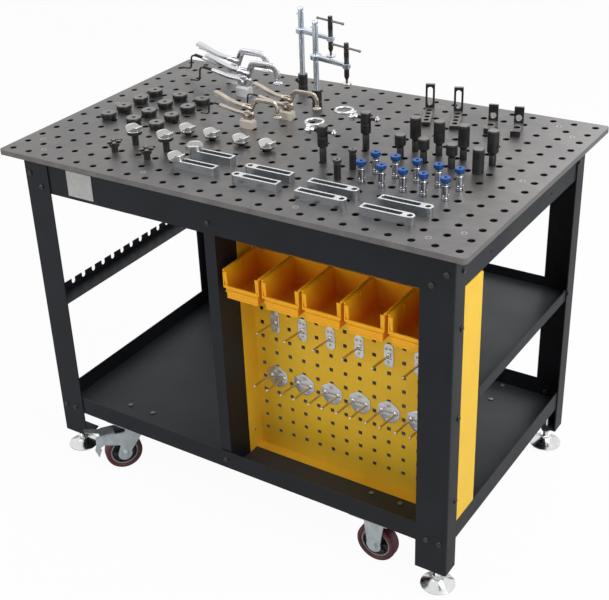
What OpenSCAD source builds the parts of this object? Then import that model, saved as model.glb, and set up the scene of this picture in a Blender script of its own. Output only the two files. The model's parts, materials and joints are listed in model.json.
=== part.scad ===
// Assembly table: a drilled steel top on a bolted sheet frame, with a tray, a shelf, a tool
// board with bins and hooks, a clamp rack, casters, levelling feet and a set of fixturing tools.
// X runs along the long side, Y from front to back, Z up; the origin is on the floor, centred.

/* [Top plate] */
// Length of the top plate
top_l = 1219.2; // [1000:0.1:1500]
// Width of the top plate
top_w = 762; // [700:0.1:900]
// Thickness of the top plate
top_t = 12.7; // [10:0.1:20]
// Height of the working surface above the floor
top_h = 896; // [850:1:1000]
// Corner radius of the plate
top_corner_r = 10; // [2:1:20]
// Diameter of the fixturing holes
hole_d = 16; // [12:0.1:20]
// Pitch of the fixturing holes
hole_pitch = 50.8; // [45:0.1:50.8]
// Number of holes along the length
hole_cols = 24; // [4:1:24]
// Number of holes along the width
hole_rows = 15; // [3:1:15]
// Head diameter of the countersunk plate screws
csk_d = 15; // [12:0.5:17]
// Shank diameter of the plate screws
csk_shank_d = 8; // [5:0.5:9]
// Depth of the countersink
csk_depth = 4; // [3:0.5:6]

/* [Legs and aprons] */
// Length across the outer faces of the legs
frame_l = 1143.4; // [900:0.1:1200]
// Width across the outer faces of the legs
frame_w = 686.4; // [600:0.1:740]
// Width of the front and back face of a leg
leg_face_w = 76.2; // [60:0.1:100]
// Depth of the side face of a leg
leg_side_w = 47; // [44:0.5:60]
// Sheet thickness of legs and aprons
leg_t = 3; // [2:0.5:4]
// Outer bend radius of a leg
leg_bend_r = 5; // [4:0.5:8]
// Height of the lower end of the legs above the floor
leg_z = 72; // [70:1:90]
// Thickness of the plate in the leg that carries the foot
foot_plate_t = 5; // [4:0.5:8]
// Height of the aprons
apron_h = 97; // [80:1:120]
// Width of the flange along the top of an apron
apron_flange_w = 24; // [18:0.5:26]
// Free gap at the ends of the aprons
apron_gap = 3; // [3:0.5:6]

/* [Tray, shelf and posts] */
// Height of the tray rim
tray_h = 49; // [35:1:60]
// Sheet thickness of tray and shelf
tray_t = 2; // [1.5:0.1:2.5]
// Corner radius of tray and shelf
tray_corner_r = 6; // [5:0.5:10]
// Height of the underside of the shelf above the floor
shelf_z = 466; // [420:1:480]
// Height of the shelf rim
shelf_h = 28; // [22:1:45]
// Position of the right face of the divider posts
post_x = -10; // [-60:1:40]
// Width of the face of a divider post
post_w = 30; // [24:1:50]
// Depth of the side of a divider post
post_depth = 107; // [80:1:107]
// Sheet thickness of a divider post
post_t = 2; // [1.5:0.1:3]

/* [Tool board] */
// Front face of the tool board
board_y = -206; // [-230:1:-190]
// Sheet thickness of the tool board
board_t = 1.5; // [1:0.1:2]
// Gap between the top of the board and the lower edge of the apron
board_top_gap = 2; // [1:0.5:10]
// Depth of the left flange of the board
board_left_flange = 53; // [30:1:60]
// Depth of the right flange of the board
board_right_flange = 119; // [90:1:119]
// Depth of the lip along the lower edge
board_lip = 26; // [15:1:40]
// Side of the square holes
peg_hole = 10; // [8:0.5:12]
// Pitch of the square holes
peg_pitch = 38; // [34:0.5:38]
// Number of columns of square holes
peg_cols = 15; // [4:1:15]
// Number of rows of square holes
peg_rows = 16; // [13:1:16]
// First column measured from the left edge of the board
peg_x0 = 21.6; // [15:0.1:25]
// First row measured from the lower edge of the board
peg_z0 = 53; // [40:0.5:60]

/* [Bins and hooks] */
// Width of a bin at its rim
bin_w = 100; // [86:1:102]
// Depth of a bin from back to front
bin_d = 132.6; // [110:0.1:133]
// Height of a bin
bin_h = 70; // [60:1:74]
// Wall thickness of a bin
bin_wall = 2; // [1.6:0.1:3]
// Pitch of the bins
bin_pitch = 104.3; // [103:0.1:106]
// Narrowing of a bin on each side towards its base
bin_taper = 9; // [4:0.5:12]
// Height of the low front band of a bin
bin_front_h = 32; // [20:1:40]
// Gap between a bin and the lower edge of the apron
bin_top_gap = 83; // [80:1:90]
// Number of hooks in each row
hook_count = 6; // [1:1:6]
// Length of a hook's wire
hook_l = 76; // [50:1:80]
// Diameter of a hook's wire
hook_d = 5; // [4:0.5:6]

/* [Clamp rack] */
// Height of the underside of the rack above the floor
rack_z = 462; // [440:1:470]
// Height of the toothed face
rack_h = 29; // [26:0.5:45]
// Width of the inward flange
rack_flange_w = 48; // [30:1:60]
// Number of slots
rack_slots = 13; // [3:2:13]
// Pitch of the slots
rack_pitch = 39.8; // [36:0.1:40]
// Width of a slot
rack_slot_w = 13.5; // [10:0.5:16]
// Depth of a slot
rack_slot_depth = 15; // [12:0.5:18]

/* [Casters and feet] */
// Overall height of a caster
caster_h = 145; // [140:1:160]
// Diameter of a wheel
wheel_d = 100; // [90:1:102]
// Width of a wheel
wheel_w = 32; // [26:1:36]
// Distance of a caster's middle from the end of the frame
caster_end_gap = 201.7; // [150:0.1:270]
// Distance of a caster's middle from the side of the frame
caster_side_gap = 55.2; // [54.2:0.1:100]
// Side of the square mounting plate
caster_plate_w = 100; // [95:1:102]
// Thickness of the mounting plate
caster_plate_t = 4; // [3:0.5:5]
// Side of the square bolt pattern
caster_bolt_pitch = 76.2; // [74:0.1:80]
// Trail of the swivel casters
trail = 36; // [28:1:36]
// Heading of the front swivel caster, counted from the X axis
swivel_heading = -127; // [-140:1:-110]
// Diameter of a caster axle
axle_d = 10; // [8:0.5:12]
// Height of a foot's base above the floor
foot_lift = 16; // [0:1:18]
// Diameter of a foot's base
foot_d = 80; // [60:1:90]
// Diameter of a foot's threaded stem
foot_stem_d = 16; // [12:1:20]

/* [Fixturing tools] */
// Length of a stop bar
bar_l = 120; // [100:1:130]
// Width of a stop bar
bar_w = 22; // [18:1:25]
// Height of a stop bar
bar_h = 19; // [12:0.5:25]
// Diameter of a riser
riser_d = 25.4; // [20:0.1:28]
// Height of a tall riser
tall_riser_h = 80; // [60:1:100]
// Height of a short riser
short_riser_h = 55; // [45:1:70]
// Diameter of a disc rest
disc_d = 39; // [30:1:42]
// Height of a disc rest
disc_h = 17; // [12:1:22]
// Height of a locking bolt
lock_h = 51; // [40:1:60]
// Height of the bar clamp posts above the plate
clamp_h = 218; // [200:1:260]
// Diameter of the bar clamp posts
clamp_post_d = 14; // [12:0.5:16]
// Reach of a bar clamp arm
arm_l = 108; // [90:1:130]
// Size of the small pliers as a share of the large ones
small_pliers_share = 0.82; // [0.7:0.01:0.95]

/* [Hidden] */
$fn = 48;

// Shared clearances and overrun
eps = 0.5;
fit = 0.05;
bolt_clear = 0.2;
gap = 0.3;

// Levels and faces that pieces share
top_under = top_h - top_t;
apron_z = top_under - apron_h;
tray_z = caster_h;
tray_floor = tray_z + tray_t;
inner_x = frame_l / 2 - leg_t;
inner_y = frame_w / 2 - leg_t;
board_z = tray_floor;
board_top = apron_z - board_top_gap;
board_h = board_top - board_z;
post_top = top_under - leg_t;

// Plate screws, as shares of half the frame
screw_inset = 12.2;
front_screw_shares = [-0.887, -0.355, 0.355, 0.887];
side_screw_shares = [-0.819, 0, 0.819];
screw_end = 6;
screw_l = top_t + leg_t + screw_end;
screw_drive_d = 5;
screw_drive_depth = 2.5;

// Frame bolts
bolt_d = 8;
bolt_head_d = 13;
bolt_head_h = 4;
bolt_nut_af = 13;
bolt_nut_h = 5;
bolt_tail = 2;
bolt_face_outer = 18;
bolt_face_inner = 50;
bolt_side_inset = 38;
bolt_outer_drop = 65;
bolt_inner_drop = 95;
bolt_side_drop = 67;
bolt_tray_rise = 13;
board_bolt_pitch = 218;
board_bolt_z = 261;
shelf_bolt_rise = 17;
post_bolt_drop = 26;

// Colours
plate_colour = [0.2, 0.19, 0.18];
frame_colour = [0.09, 0.1, 0.12];
board_colour = [0.98, 0.74, 0.06];
bin_colour = [0.98, 0.6, 0.05];
zinc_colour = [0.75, 0.78, 0.8];
tyre_colour = [0.3, 0.06, 0.08];
oxide_colour = [0.1, 0.1, 0.1];
blue_colour = [0.05, 0.22, 0.55];
bronze_colour = [0.62, 0.52, 0.42];

// Two-dimensional helpers

// Rectangle with round corners, centred
module round_rect(w, h, r) {
    square([w - 2 * r, h], center = true);
    square([w, h - 2 * r], center = true);
    for (x = [-1, 1], y = [-1, 1])
        translate([x * (w / 2 - r), y * (h / 2 - r)])
            circle(r);
}

// Straight stroke with round ends between two points
module stroke(a, b, w) {
    d = b - a;
    translate(a)
        rotate(atan2(d[1], d[0]))
            translate([0, -w / 2])
                square([norm(d), w]);
    translate(a)
        circle(d = w);
    translate(b)
        circle(d = w);
}

// Ribbon of even width along a list of points, mitred at the bends
function heading(p, i) = (p[i + 1] - p[i]) / norm(p[i + 1] - p[i]);
function mitre(a, b) = let(n = [-a[1] - b[1], a[0] + b[0]]) n / (n * [-a[1], a[0]]);
function side_step(p, i) =
    i == 0 ? mitre(heading(p, 0), heading(p, 0))
    : i == len(p) - 1 ? mitre(heading(p, i - 1), heading(p, i - 1))
    : mitre(heading(p, i - 1), heading(p, i));

module ribbon(points, w) {
    last = len(points) - 1;
    polygon(concat(
        [for (i = [0 : last]) points[i] + side_step(points, i) * w / 2],
        [for (i = [last : -1 : 0]) points[i] - side_step(points, i) * w / 2]
    ));
}

// Sheet angle with a round outer corner; its arms run along +X and +Y from the corner
module angle_section(a, b, t, r) {
    translate([r, 0])
        square([a - r, t]);
    translate([0, r])
        square([t, b - r]);
    intersection() {
        translate([r, r])
            difference() {
                circle(r);
                circle(r - t);
            }
        square([r, r]);
    }
}

// Stand a shape drawn in the X-Z plane upright, with its thickness centred on Y
module upright(t) {
    rotate([90, 0, 0])
        translate([0, 0, -t / 2])
            linear_extrude(t)
                children();
}

// Copy for the four corners of the table; sx and sy are the signs
module at_corner(x, y, sx, sy) {
    translate([sx * x, sy * y, 0])
        children();
}

// Top plate

module hole_grid_2d() {
    for (i = [0 : hole_cols - 1], j = [0 : hole_rows - 1])
        translate([(i - (hole_cols - 1) / 2) * hole_pitch, (j - (hole_rows - 1) / 2) * hole_pitch])
            circle(d = hole_d);
}

module at_plate_screws() {
    for (s = [-1, 1], k = front_screw_shares)
        translate([k * frame_l / 2, s * (frame_w / 2 - screw_inset), 0])
            children();
    for (s = [-1, 1], k = side_screw_shares)
        translate([s * (frame_l / 2 - screw_inset - apron_gap / 2), k * frame_w / 2, 0])
            children();
}

module table_top() {
    color(plate_colour)
        difference() {
            translate([0, 0, top_under])
                linear_extrude(top_t)
                    difference() {
                        round_rect(top_l, top_w, top_corner_r);
                        hole_grid_2d();
                    }
            at_plate_screws() {
                translate([0, 0, top_under - eps])
                    cylinder(d = csk_shank_d + 2 * bolt_clear, h = top_t + 2 * eps);
                translate([0, 0, top_h - csk_depth])
                    cylinder(
                        d1 = csk_shank_d + 2 * bolt_clear,
                        d2 = csk_d + 2 * bolt_clear,
                        h = csk_depth + fit
                    );
            }
        }
}

module top_screws() {
    color(zinc_colour)
        at_plate_screws()
            difference() {
                union() {
                    translate([0, 0, top_h - screw_l])
                        cylinder(d = csk_shank_d, h = screw_l - csk_depth + eps);
                    translate([0, 0, top_h - csk_depth])
                        cylinder(d1 = csk_shank_d, d2 = csk_d, h = csk_depth);
                }
                translate([0, 0, top_h - screw_drive_depth])
                    cylinder(d = screw_drive_d, h = screw_drive_depth + eps, $fn = 6);
            }
}

// Frame bolts: each has a place, the way its head faces and the sheets it clamps

// Bolt along +Z: head above zero, shank and nut below
module bolt(grip) {
    intersection() {
        cylinder(d = bolt_head_d, h = bolt_head_h);
        translate([0, 0, bolt_head_h - bolt_head_d])
            sphere(bolt_head_d);
    }
    translate([0, 0, -grip - bolt_nut_h - bolt_tail])
        cylinder(d = bolt_d, h = grip + bolt_nut_h + bolt_tail + eps);
    translate([0, 0, -grip - bolt_nut_h])
        difference() {
            cylinder(d = bolt_nut_af / cos(30), h = bolt_nut_h, $fn = 6);
            translate([0, 0, -eps])
                cylinder(d = bolt_d + 2 * fit, h = bolt_nut_h + 2 * eps);
        }
}

// Hole for such a bolt
module bolt_hole(grip) {
    translate([0, 0, -grip - eps])
        cylinder(d = bolt_d + 2 * bolt_clear, h = grip + 2 * eps);
}

// Bolts through the front and back faces of the four legs
apron_bolts = [
    [bolt_face_outer, top_h - bolt_outer_drop],
    [bolt_face_inner, top_h - bolt_inner_drop]
];
tray_bolts = [
    [bolt_face_outer, tray_z + bolt_tray_rise],
    [bolt_face_inner, tray_z + bolt_tray_rise]
];

module at_face_bolts(places) {
    for (sx = [-1, 1], sy = [-1, 1], p = places)
        translate([sx * (frame_l / 2 - p[0]), sy * frame_w / 2, p[1]])
            rotate([-90 * sy, 0, 0])
                children();
}

// Bolts through the side faces of the legs into the side aprons
module at_side_bolts() {
    for (sx = [-1, 1], sy = [-1, 1])
        translate([
            sx * frame_l / 2,
            sy * (frame_w / 2 - bolt_side_inset),
            top_h - bolt_side_drop
        ])
            rotate([0, 90 * sx, 0])
                children();
}

// Bolts through the right front leg into the flange of the tool board
module at_board_bolts() {
    for (k = [0 : 2])
        translate([frame_l / 2, -frame_w / 2 + bolt_side_inset, board_bolt_z + k * board_bolt_pitch])
            rotate([0, 90, 0])
                children();
}

// Bolts through the left legs into the clamp rack
module at_rack_bolts() {
    for (sy = [-1, 1])
        translate([-frame_l / 2, sy * (frame_w / 2 - bolt_side_inset), rack_z + rack_h / 2])
            rotate([0, -90, 0])
                children();
}

// Bolt through the right back leg into the shelf
module at_shelf_bolt() {
    translate([frame_l / 2, frame_w / 2 - bolt_side_inset, shelf_z + shelf_bolt_rise])
        rotate([0, 90, 0])
            children();
}

// Bolts through aprons and tray rim into the divider posts
module at_post_bolts() {
    for (sy = [-1, 1])
        translate([post_x - post_w / 2, sy * inner_y, apron_z + post_bolt_drop])
            rotate([-90 * sy, 0, 0])
                children();
}

module at_rim_bolts() {
    for (sy = [-1, 1])
        translate([post_x - post_w / 2, sy * inner_y, tray_z + tray_h / 2])
            rotate([-90 * sy, 0, 0])
                children();
}

module frame_bolts() {
    color(frame_colour) {
        at_face_bolts(apron_bolts)
            bolt(2 * leg_t);
        at_face_bolts(tray_bolts)
            bolt(leg_t + tray_t);
        at_side_bolts()
            bolt(2 * leg_t);
        at_board_bolts()
            bolt(leg_t + board_t);
        at_rack_bolts()
            bolt(leg_t + tray_t);
        at_shelf_bolt()
            bolt(leg_t + tray_t);
        at_post_bolts()
            bolt(leg_t + post_t);
        at_rim_bolts()
            bolt(leg_t + post_t);
    }
}

module frame_holes() {
    at_face_bolts(concat(apron_bolts, tray_bolts))
        bolt_hole(3 * leg_t);
    at_side_bolts()
        bolt_hole(3 * leg_t);
    at_board_bolts()
        bolt_hole(3 * leg_t);
    at_rack_bolts()
        bolt_hole(3 * leg_t);
    at_shelf_bolt()
        bolt_hole(3 * leg_t);
    at_post_bolts()
        bolt_hole(3 * leg_t);
    at_rim_bolts()
        bolt_hole(3 * leg_t);
}

// Legs

foot_inset_x = 31.5;
foot_inset_y = 27.8;
foot_hole_play = 2;
foot_hole_d = foot_stem_d + foot_hole_play;

module leg(sx, sy) {
    color(frame_colour)
        difference() {
            at_corner(frame_l / 2, frame_w / 2, sx, sy)
                mirror([sx > 0 ? 1 : 0, 0, 0])
                    mirror([0, sy > 0 ? 1 : 0, 0]) {
                        translate([0, 0, leg_z])
                            linear_extrude(top_under - leg_z)
                                angle_section(leg_face_w, leg_side_w, leg_t, leg_bend_r);
                        translate([leg_t, leg_t, leg_z])
                            difference() {
                                cube([leg_face_w - leg_t, leg_side_w - leg_t, foot_plate_t]);
                                translate([foot_inset_x - leg_t, foot_inset_y - leg_t, -eps])
                                    cylinder(d = foot_hole_d, h = foot_plate_t + 2 * eps);
                            }
                    }
            frame_holes();
        }
}

// Aprons

// Channel along X: web on the outer side (towards -Y), flange along the top
module apron_bar(l, flange_l) {
    translate([-l / 2, 0, apron_z])
        cube([l, leg_t, apron_h]);
    translate([-flange_l / 2, 0, top_under - leg_t])
        cube([flange_l, apron_flange_w, leg_t]);
    translate([-flange_l / 2, 0, apron_z])
        cube([flange_l, apron_flange_w / 2, leg_t]);
}

module screw_clearances() {
    at_plate_screws()
        translate([0, 0, top_under - leg_t - eps])
            cylinder(d = csk_shank_d + 2 * bolt_clear, h = leg_t + 2 * eps);
}

long_apron_l = 2 * (inner_x - apron_gap);
side_apron_l = 2 * (inner_y - leg_t - bolt_clear);
side_flange_l = 2 * (inner_y - apron_flange_w - bolt_clear);
side_dot_d = 6;
side_dot_shares = [-0.5, 0.43];

module long_apron(sy) {
    color(frame_colour)
        difference() {
            translate([0, sy * inner_y, 0])
                mirror([0, sy > 0 ? 1 : 0, 0])
                    difference() {
                        apron_bar(long_apron_l, long_apron_l);
                        translate([post_x - post_w - apron_gap, leg_t, apron_z - eps])
                            cube([post_w + 2 * apron_gap, apron_flange_w, leg_t + 2 * eps]);
                    }
            frame_holes();
            screw_clearances();
        }
}

module side_apron(sx) {
    color(frame_colour)
        difference() {
            translate([sx * inner_x, 0, 0])
                rotate([0, 0, 90 * sx])
                    apron_bar(side_apron_l, side_flange_l);
            frame_holes();
            screw_clearances();
            for (k = side_dot_shares)
                translate([sx * inner_x, k * frame_w / 2, apron_z + apron_h / 4])
                    rotate([0, 90, 0])
                        cylinder(d = side_dot_d, h = 4 * leg_t, center = true);
        }
}

// Sheet trays

// Open tray with a floor and four rims, from a low corner
module sheet_tray(size, t, r) {
    translate([size[0] / 2, size[1] / 2, 0])
        difference() {
            linear_extrude(size[2])
                round_rect(size[0], size[1], r);
            translate([0, 0, t])
                linear_extrude(size[2])
                    round_rect(size[0] - 2 * t, size[1] - 2 * t, r - t);
        }
}

module bottom_tray() {
    color(frame_colour)
        difference() {
            translate([-inner_x, -inner_y, tray_z])
                sheet_tray([2 * inner_x, 2 * inner_y, tray_h], tray_t, tray_corner_r);
            frame_holes();
            at_casters()
                at_caster_bolts()
                    translate([0, 0, tray_z - eps])
                        cylinder(d = bolt_d + 2 * bolt_clear, h = tray_t + 2 * eps);
        }
}

module middle_shelf() {
    color(frame_colour)
        difference() {
            translate([post_x, board_y + board_t, shelf_z])
                sheet_tray(
                    [inner_x - post_x, inner_y - board_y - board_t, shelf_h],
                    tray_t,
                    tray_corner_r
                );
            frame_holes();
        }
}

// Divider posts: one behind the front apron and one behind the back apron

post_return = 14;

module divider_post(sy) {
    mirror([0, sy > 0 ? 1 : 0, 0])
        translate([post_x, -inner_y + leg_t, tray_floor])
            linear_extrude(post_top - tray_floor)
                union() {
                    translate([-post_w, 0])
                        square([post_w, post_t]);
                    translate([-post_t, 0])
                        square([post_t, post_depth]);
                    translate([-post_w, 0])
                        square([post_t, post_return]);
                    translate([-post_return, post_depth - post_t])
                        square([post_return, post_t]);
                }
}

module divider_posts() {
    color(frame_colour)
        difference() {
            for (sy = [-1, 1])
                divider_post(sy);
            frame_holes();
            translate([post_x - 2 * post_t, board_flange_bolt_y, board_z + peg_z0])
                rotate([0, 90, 0])
                    cylinder(d = bolt_d, h = 4 * post_t);
        }
}

// Tool board: a sheet with square holes, two side flanges and a lip along its lower edge

board_l = inner_x - post_x;
board_flange_bolt_y = board_y - board_left_flange / 2;
board_bevel = 8;

module peg_holes_2d() {
    for (i = [0 : peg_cols - 1], j = [0 : peg_rows - 1])
        translate([peg_x0 + i * peg_pitch, peg_z0 + j * peg_pitch])
            square(peg_hole, center = true);
}

module tool_board() {
    color(board_colour)
        difference() {
            union() {
                translate([post_x, board_y + board_t, board_z])
                    rotate([90, 0, 0])
                        linear_extrude(board_t)
                            difference() {
                                square([board_l, board_h]);
                                peg_holes_2d();
                            }
                translate([post_x, board_y - board_left_flange, board_z])
                    cube([board_t, board_left_flange + board_t, board_h]);
                translate([inner_x - board_t, board_y - board_right_flange, board_z])
                    cube([board_t, board_right_flange + board_t, board_h]);
                translate([post_x, board_y - board_lip, board_z])
                    cube([board_l, board_lip + board_t, board_t]);
            }
            frame_holes();
            translate([inner_x - tray_t - bolt_clear, -frame_w / 2, board_z - eps])
                cube([2 * tray_t, frame_w, tray_h - tray_t + bolt_clear + eps]);
            translate([post_x - eps, board_flange_bolt_y, board_z + peg_z0])
                rotate([0, 90, 0])
                    cylinder(d = bolt_d, h = board_t + 2 * eps);
            for (s = [-1, 1])
                translate([inner_x, board_y - (s < 0 ? board_right_flange : 0), board_top])
                    rotate([0, 90, 0])
                        rotate(45)
                            cube([board_bevel, board_bevel, 4 * board_t], center = true);
        }
}

// Clamp rack: an angle whose upright face is notched from above

module clamp_rack() {
    rack_l = 2 * (inner_y - leg_bend_r);
    color(frame_colour)
        difference() {
            union() {
                translate([-inner_x, -rack_l / 2, rack_z])
                    cube([tray_t, rack_l, rack_h]);
                translate([-inner_x, -rack_l / 2, rack_z])
                    cube([rack_flange_w, rack_l, tray_t]);
            }
            for (i = [0 : rack_slots - 1])
                translate([-inner_x - eps, (i - (rack_slots - 1) / 2) * rack_pitch, rack_z + rack_h])
                    rotate([90, 0, 90])
                        linear_extrude(tray_t + 2 * eps) {
                            translate([-rack_slot_w / 2, rack_slot_w / 2 - rack_slot_depth])
                                square([rack_slot_w, rack_slot_depth]);
                            translate([0, rack_slot_w / 2 - rack_slot_depth])
                                circle(d = rack_slot_w);
                        }
            frame_holes();
        }
}

// Blank name plate on the front apron

plate_tag_w = 78;
plate_tag_h = 65;
plate_tag_t = 0.8;
plate_tag_share = -0.7;
plate_tag_rise = 8;

module name_plate() {
    color([0.85, 0.85, 0.83])
        translate([
            plate_tag_share * frame_l / 2 - plate_tag_w / 2 + apron_gap,
            -inner_y - plate_tag_t,
            apron_z + plate_tag_rise
        ])
            cube([plate_tag_w, plate_tag_t, plate_tag_h]);
}

// Bins

bin_side_gap = 12.5;
bin_x0 = post_x + board_t + bin_side_gap;
bin_back = board_y - gap;
bin_z = apron_z - bin_top_gap - bin_h;
bin_rim = 3;
bin_lug_w = 7;
bin_lug_t = 3.5;
bin_lug_drop = 5;
bin_lug_play = 0.5;
bin_post = 7;
bin_draft = 4;
bin_lip = 3;

// Tapered block: base inset by a taper on each side and a draft at the front
module bin_block(w, d, h, taper, draft) {
    hull() {
        translate([-w / 2 + taper, -d + draft, 0])
            cube([w - 2 * taper, d - draft, eps]);
        translate([-w / 2, -d, h - eps])
            cube([w, d, eps]);
    }
}

// Nearest column of square holes to a place along the board
function peg_column(x) = post_x + peg_x0 + peg_pitch * round((x - post_x - peg_x0) / peg_pitch);
function peg_row(z) = board_z + peg_z0 + peg_pitch * round((z - board_z - peg_z0) / peg_pitch);

module bin(i) {
    x = bin_x0 + bin_w / 2 + i * bin_pitch;
    inner_w = bin_w - 2 * bin_rim - 2 * bin_wall;
    lug_z = peg_row(bin_z + bin_h * 3 / 4) - peg_hole / 2 + gap;
    lug_l = eps + gap + board_t + bin_lug_play + bin_lug_t;
    color(bin_colour) {
        translate([x, bin_back, bin_z]) {
            difference() {
                union() {
                    bin_block(bin_w - 2 * bin_rim, bin_d, bin_h, bin_taper - bin_rim, bin_draft);
                    translate([-bin_w / 2, -bin_d, bin_h - bin_rim])
                        cube([bin_w, bin_d, bin_rim]);
                    translate([-bin_w / 2 + bin_rim, -bin_d, bin_front_h - bin_lip])
                        cube([bin_w - 2 * bin_rim, bin_wall, bin_lip]);
                }
                translate([0, -bin_wall, bin_wall])
                    bin_block(
                        inner_w,
                        bin_d - 2 * bin_wall,
                        bin_h,
                        bin_taper - bin_rim,
                        bin_draft
                    );
                translate([-inner_w / 2 + bin_post, -bin_d - eps, bin_front_h])
                    cube([inner_w - 2 * bin_post, 3 * bin_wall + bin_draft, bin_h]);
                translate([-bin_w / 2 - eps, -bin_d - eps, bin_h - bin_rim - eps])
                    cube([bin_w + 2 * eps, bin_rim + eps, bin_rim + 2 * eps]);
            }
        }
        // hooks that reach through the square holes and turn down behind the board
        for (k = [0, 1])
            translate([
                peg_column(x - peg_pitch / 2) + k * peg_pitch - bin_lug_w / 2,
                bin_back - eps,
                lug_z
            ]) {
                cube([bin_lug_w, lug_l, bin_lug_t]);
                translate([0, lug_l - bin_lug_t, -bin_lug_drop])
                    cube([bin_lug_w, bin_lug_t, bin_lug_drop + bin_lug_t]);
            }
    }
}

// Hooks on the tool board

single_hook_w = 24;
single_hook_h = 60;
double_hook_w = 56;
double_hook_h = 58;
double_hook_gap = 36;
hook_t = 2;
hook_rise = 6;
hook_lift = 10;
single_hook_rows = 8;
double_hook_rows = 4;
hook_step_cols = 2;
hook_first_cols = 1;

module hook_wire() {
    rotate([90 - hook_rise, 0, 0]) {
        cylinder(d = hook_d, h = hook_l);
        translate([0, 0, hook_l])
            sphere(d = hook_d * 1.2);
    }
}

module at_hooks(row, z_shift) {
    for (i = [0 : hook_count - 1])
        translate([
            post_x + peg_x0 + (hook_first_cols + hook_step_cols * i) * peg_pitch,
            board_y - hook_t,
            board_z + peg_z0 + row * peg_pitch + z_shift
        ])
            children();
}

module single_hooks() {
    color(zinc_colour)
        at_hooks(single_hook_rows, hook_lift) {
            translate([0, hook_t / 2, 0])
                upright(hook_t)
                    round_rect(single_hook_w, single_hook_h, single_hook_w / 3);
            translate([0, hook_t / 2, 0])
                hook_wire();
        }
}

module double_hooks() {
    color(zinc_colour)
        at_hooks(double_hook_rows, hook_lift) {
            translate([0, hook_t / 2, 0])
                upright(hook_t)
                    polygon([
                        [-double_hook_w / 2, -double_hook_h / 6],
                        [-double_hook_w / 5, -double_hook_h / 2],
                        [double_hook_w / 5, -double_hook_h / 2],
                        [double_hook_w / 2, -double_hook_h / 6],
                        [double_hook_w / 2, double_hook_h / 4],
                        [double_hook_w / 12, double_hook_h / 2],
                        [-double_hook_w / 12, double_hook_h / 2],
                        [-double_hook_w / 2, double_hook_h / 4]
                    ]);
            for (s = [-1, 1])
                translate([s * double_hook_gap / 2, hook_t / 2, 0])
                    hook_wire();
        }
}

// Levelling feet

foot_rim_t = 3;
foot_cone_h = 22;
foot_neck_d = 22;
foot_stem_room = 15;
foot_stem_top = tray_z - foot_stem_room;
foot_nut_af = 24;
foot_nut_h = 13;
foot_ball_wall = 2;
foot_ball_d = foot_stem_d + 2 * foot_ball_wall;

module foot(sx, sy) {
    color(zinc_colour)
        at_corner(frame_l / 2 - foot_inset_x, frame_w / 2 - foot_inset_y, sx, sy)
            translate([0, 0, foot_lift]) {
                cylinder(d = foot_d, h = foot_rim_t);
                translate([0, 0, foot_rim_t])
                    cylinder(d1 = foot_d - foot_rim_t, d2 = foot_neck_d, h = foot_cone_h - foot_rim_t);
                translate([0, 0, foot_cone_h - eps])
                    cylinder(d = foot_ball_d, h = foot_rim_t + eps);
                translate([0, 0, foot_cone_h])
                    cylinder(d = foot_stem_d, h = foot_stem_top - foot_lift - foot_cone_h);
            }
}

module foot_nuts() {
    for (sx = [-1, 1], sy = [-1, 1])
        at_corner(frame_l / 2 - foot_inset_x, frame_w / 2 - foot_inset_y, sx, sy)
            translate([0, 0, leg_z - foot_nut_h])
                difference() {
                    cylinder(d = foot_nut_af / cos(30), h = foot_nut_h, $fn = 6);
                    translate([0, 0, -eps])
                        cylinder(d = foot_stem_d + 2 * fit, h = foot_nut_h + 2 * eps);
                }
}

// Casters

fork_t = 4;
fork_gap = 3;
fork_half = wheel_w / 2 + fork_gap;
fork_top_w = 54;
fork_foot_r = 19;
fork_drop = 10;
race_d = 56;
race_h = 8;
king_d = 12;
king_head_d = 20;
king_head_h = 5;
plate_under = tray_z - caster_plate_t;
swivel_top = plate_under - race_h - gap;
wheel_z = wheel_d / 2;
axle_head_h = 8;
caster_x = frame_l / 2 - caster_end_gap;
caster_y = frame_w / 2 - caster_side_gap;
axle_nut_af = 17;
axle_tail = 4;
arm_shares = [[0.23, -0.14], [0.88, -0.14], [0.88, -0.4], [0.82, -0.42], [0.38, -0.55], [0.23, -0.55]];
arm_size = 100;
pedal_pivot = 72;
pedal_pivot_d = 6;
pedal_pivot_drop = 25;
pedal_t = 2;
pedal_start = 57;
pedal_l = 40;
pedal_end = pedal_start + pedal_l;
pedal_w = 2 * (fork_half - eps);
pedal_drop = 12.5;
pedal_top = swivel_top - pedal_drop;
pedal_tab_w = 20;
pedal_tab_out = 35;
pedal_tab_rise = 9;
pedal_ear_w = 18;
leaf_size = 100;
leaf_shares = [
    [-0.06, 0], [0.11, 0], [0.12, -0.26], [0.17, -0.41],
    [0.08, -0.67], [-0.01, -0.43], [0.03, -0.37], [-0.11, -0.31]
];

// The back swivel caster is turned so far that both pedals reach equally far past the frame
tab_end = pedal_end + pedal_tab_out;
front_reach = -tab_end * sin(swivel_heading) - (pedal_tab_w - pedal_w / 2) * cos(swivel_heading);
back_lean = asin(front_reach / norm([tab_end, pedal_w / 2])) - atan2(pedal_w / 2, tab_end);
back_heading = 180 - back_lean;

module at_casters() {
    for (sx = [-1, 1], sy = [-1, 1])
        translate([sx * caster_x, sy * caster_y, 0])
            children();
}

module at_caster_bolts() {
    for (x = [-1, 1], y = [-1, 1])
        translate([x * caster_bolt_pitch / 2, y * caster_bolt_pitch / 2, 0])
            children();
}

// Frame of a swivel caster: +X is the trailing direction, +Y is across the wheel
module swivel_frame(sy) {
    translate([-caster_x, sy * caster_y, 0])
        rotate([0, 0, sy < 0 ? swivel_heading : back_heading])
            children();
}

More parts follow.
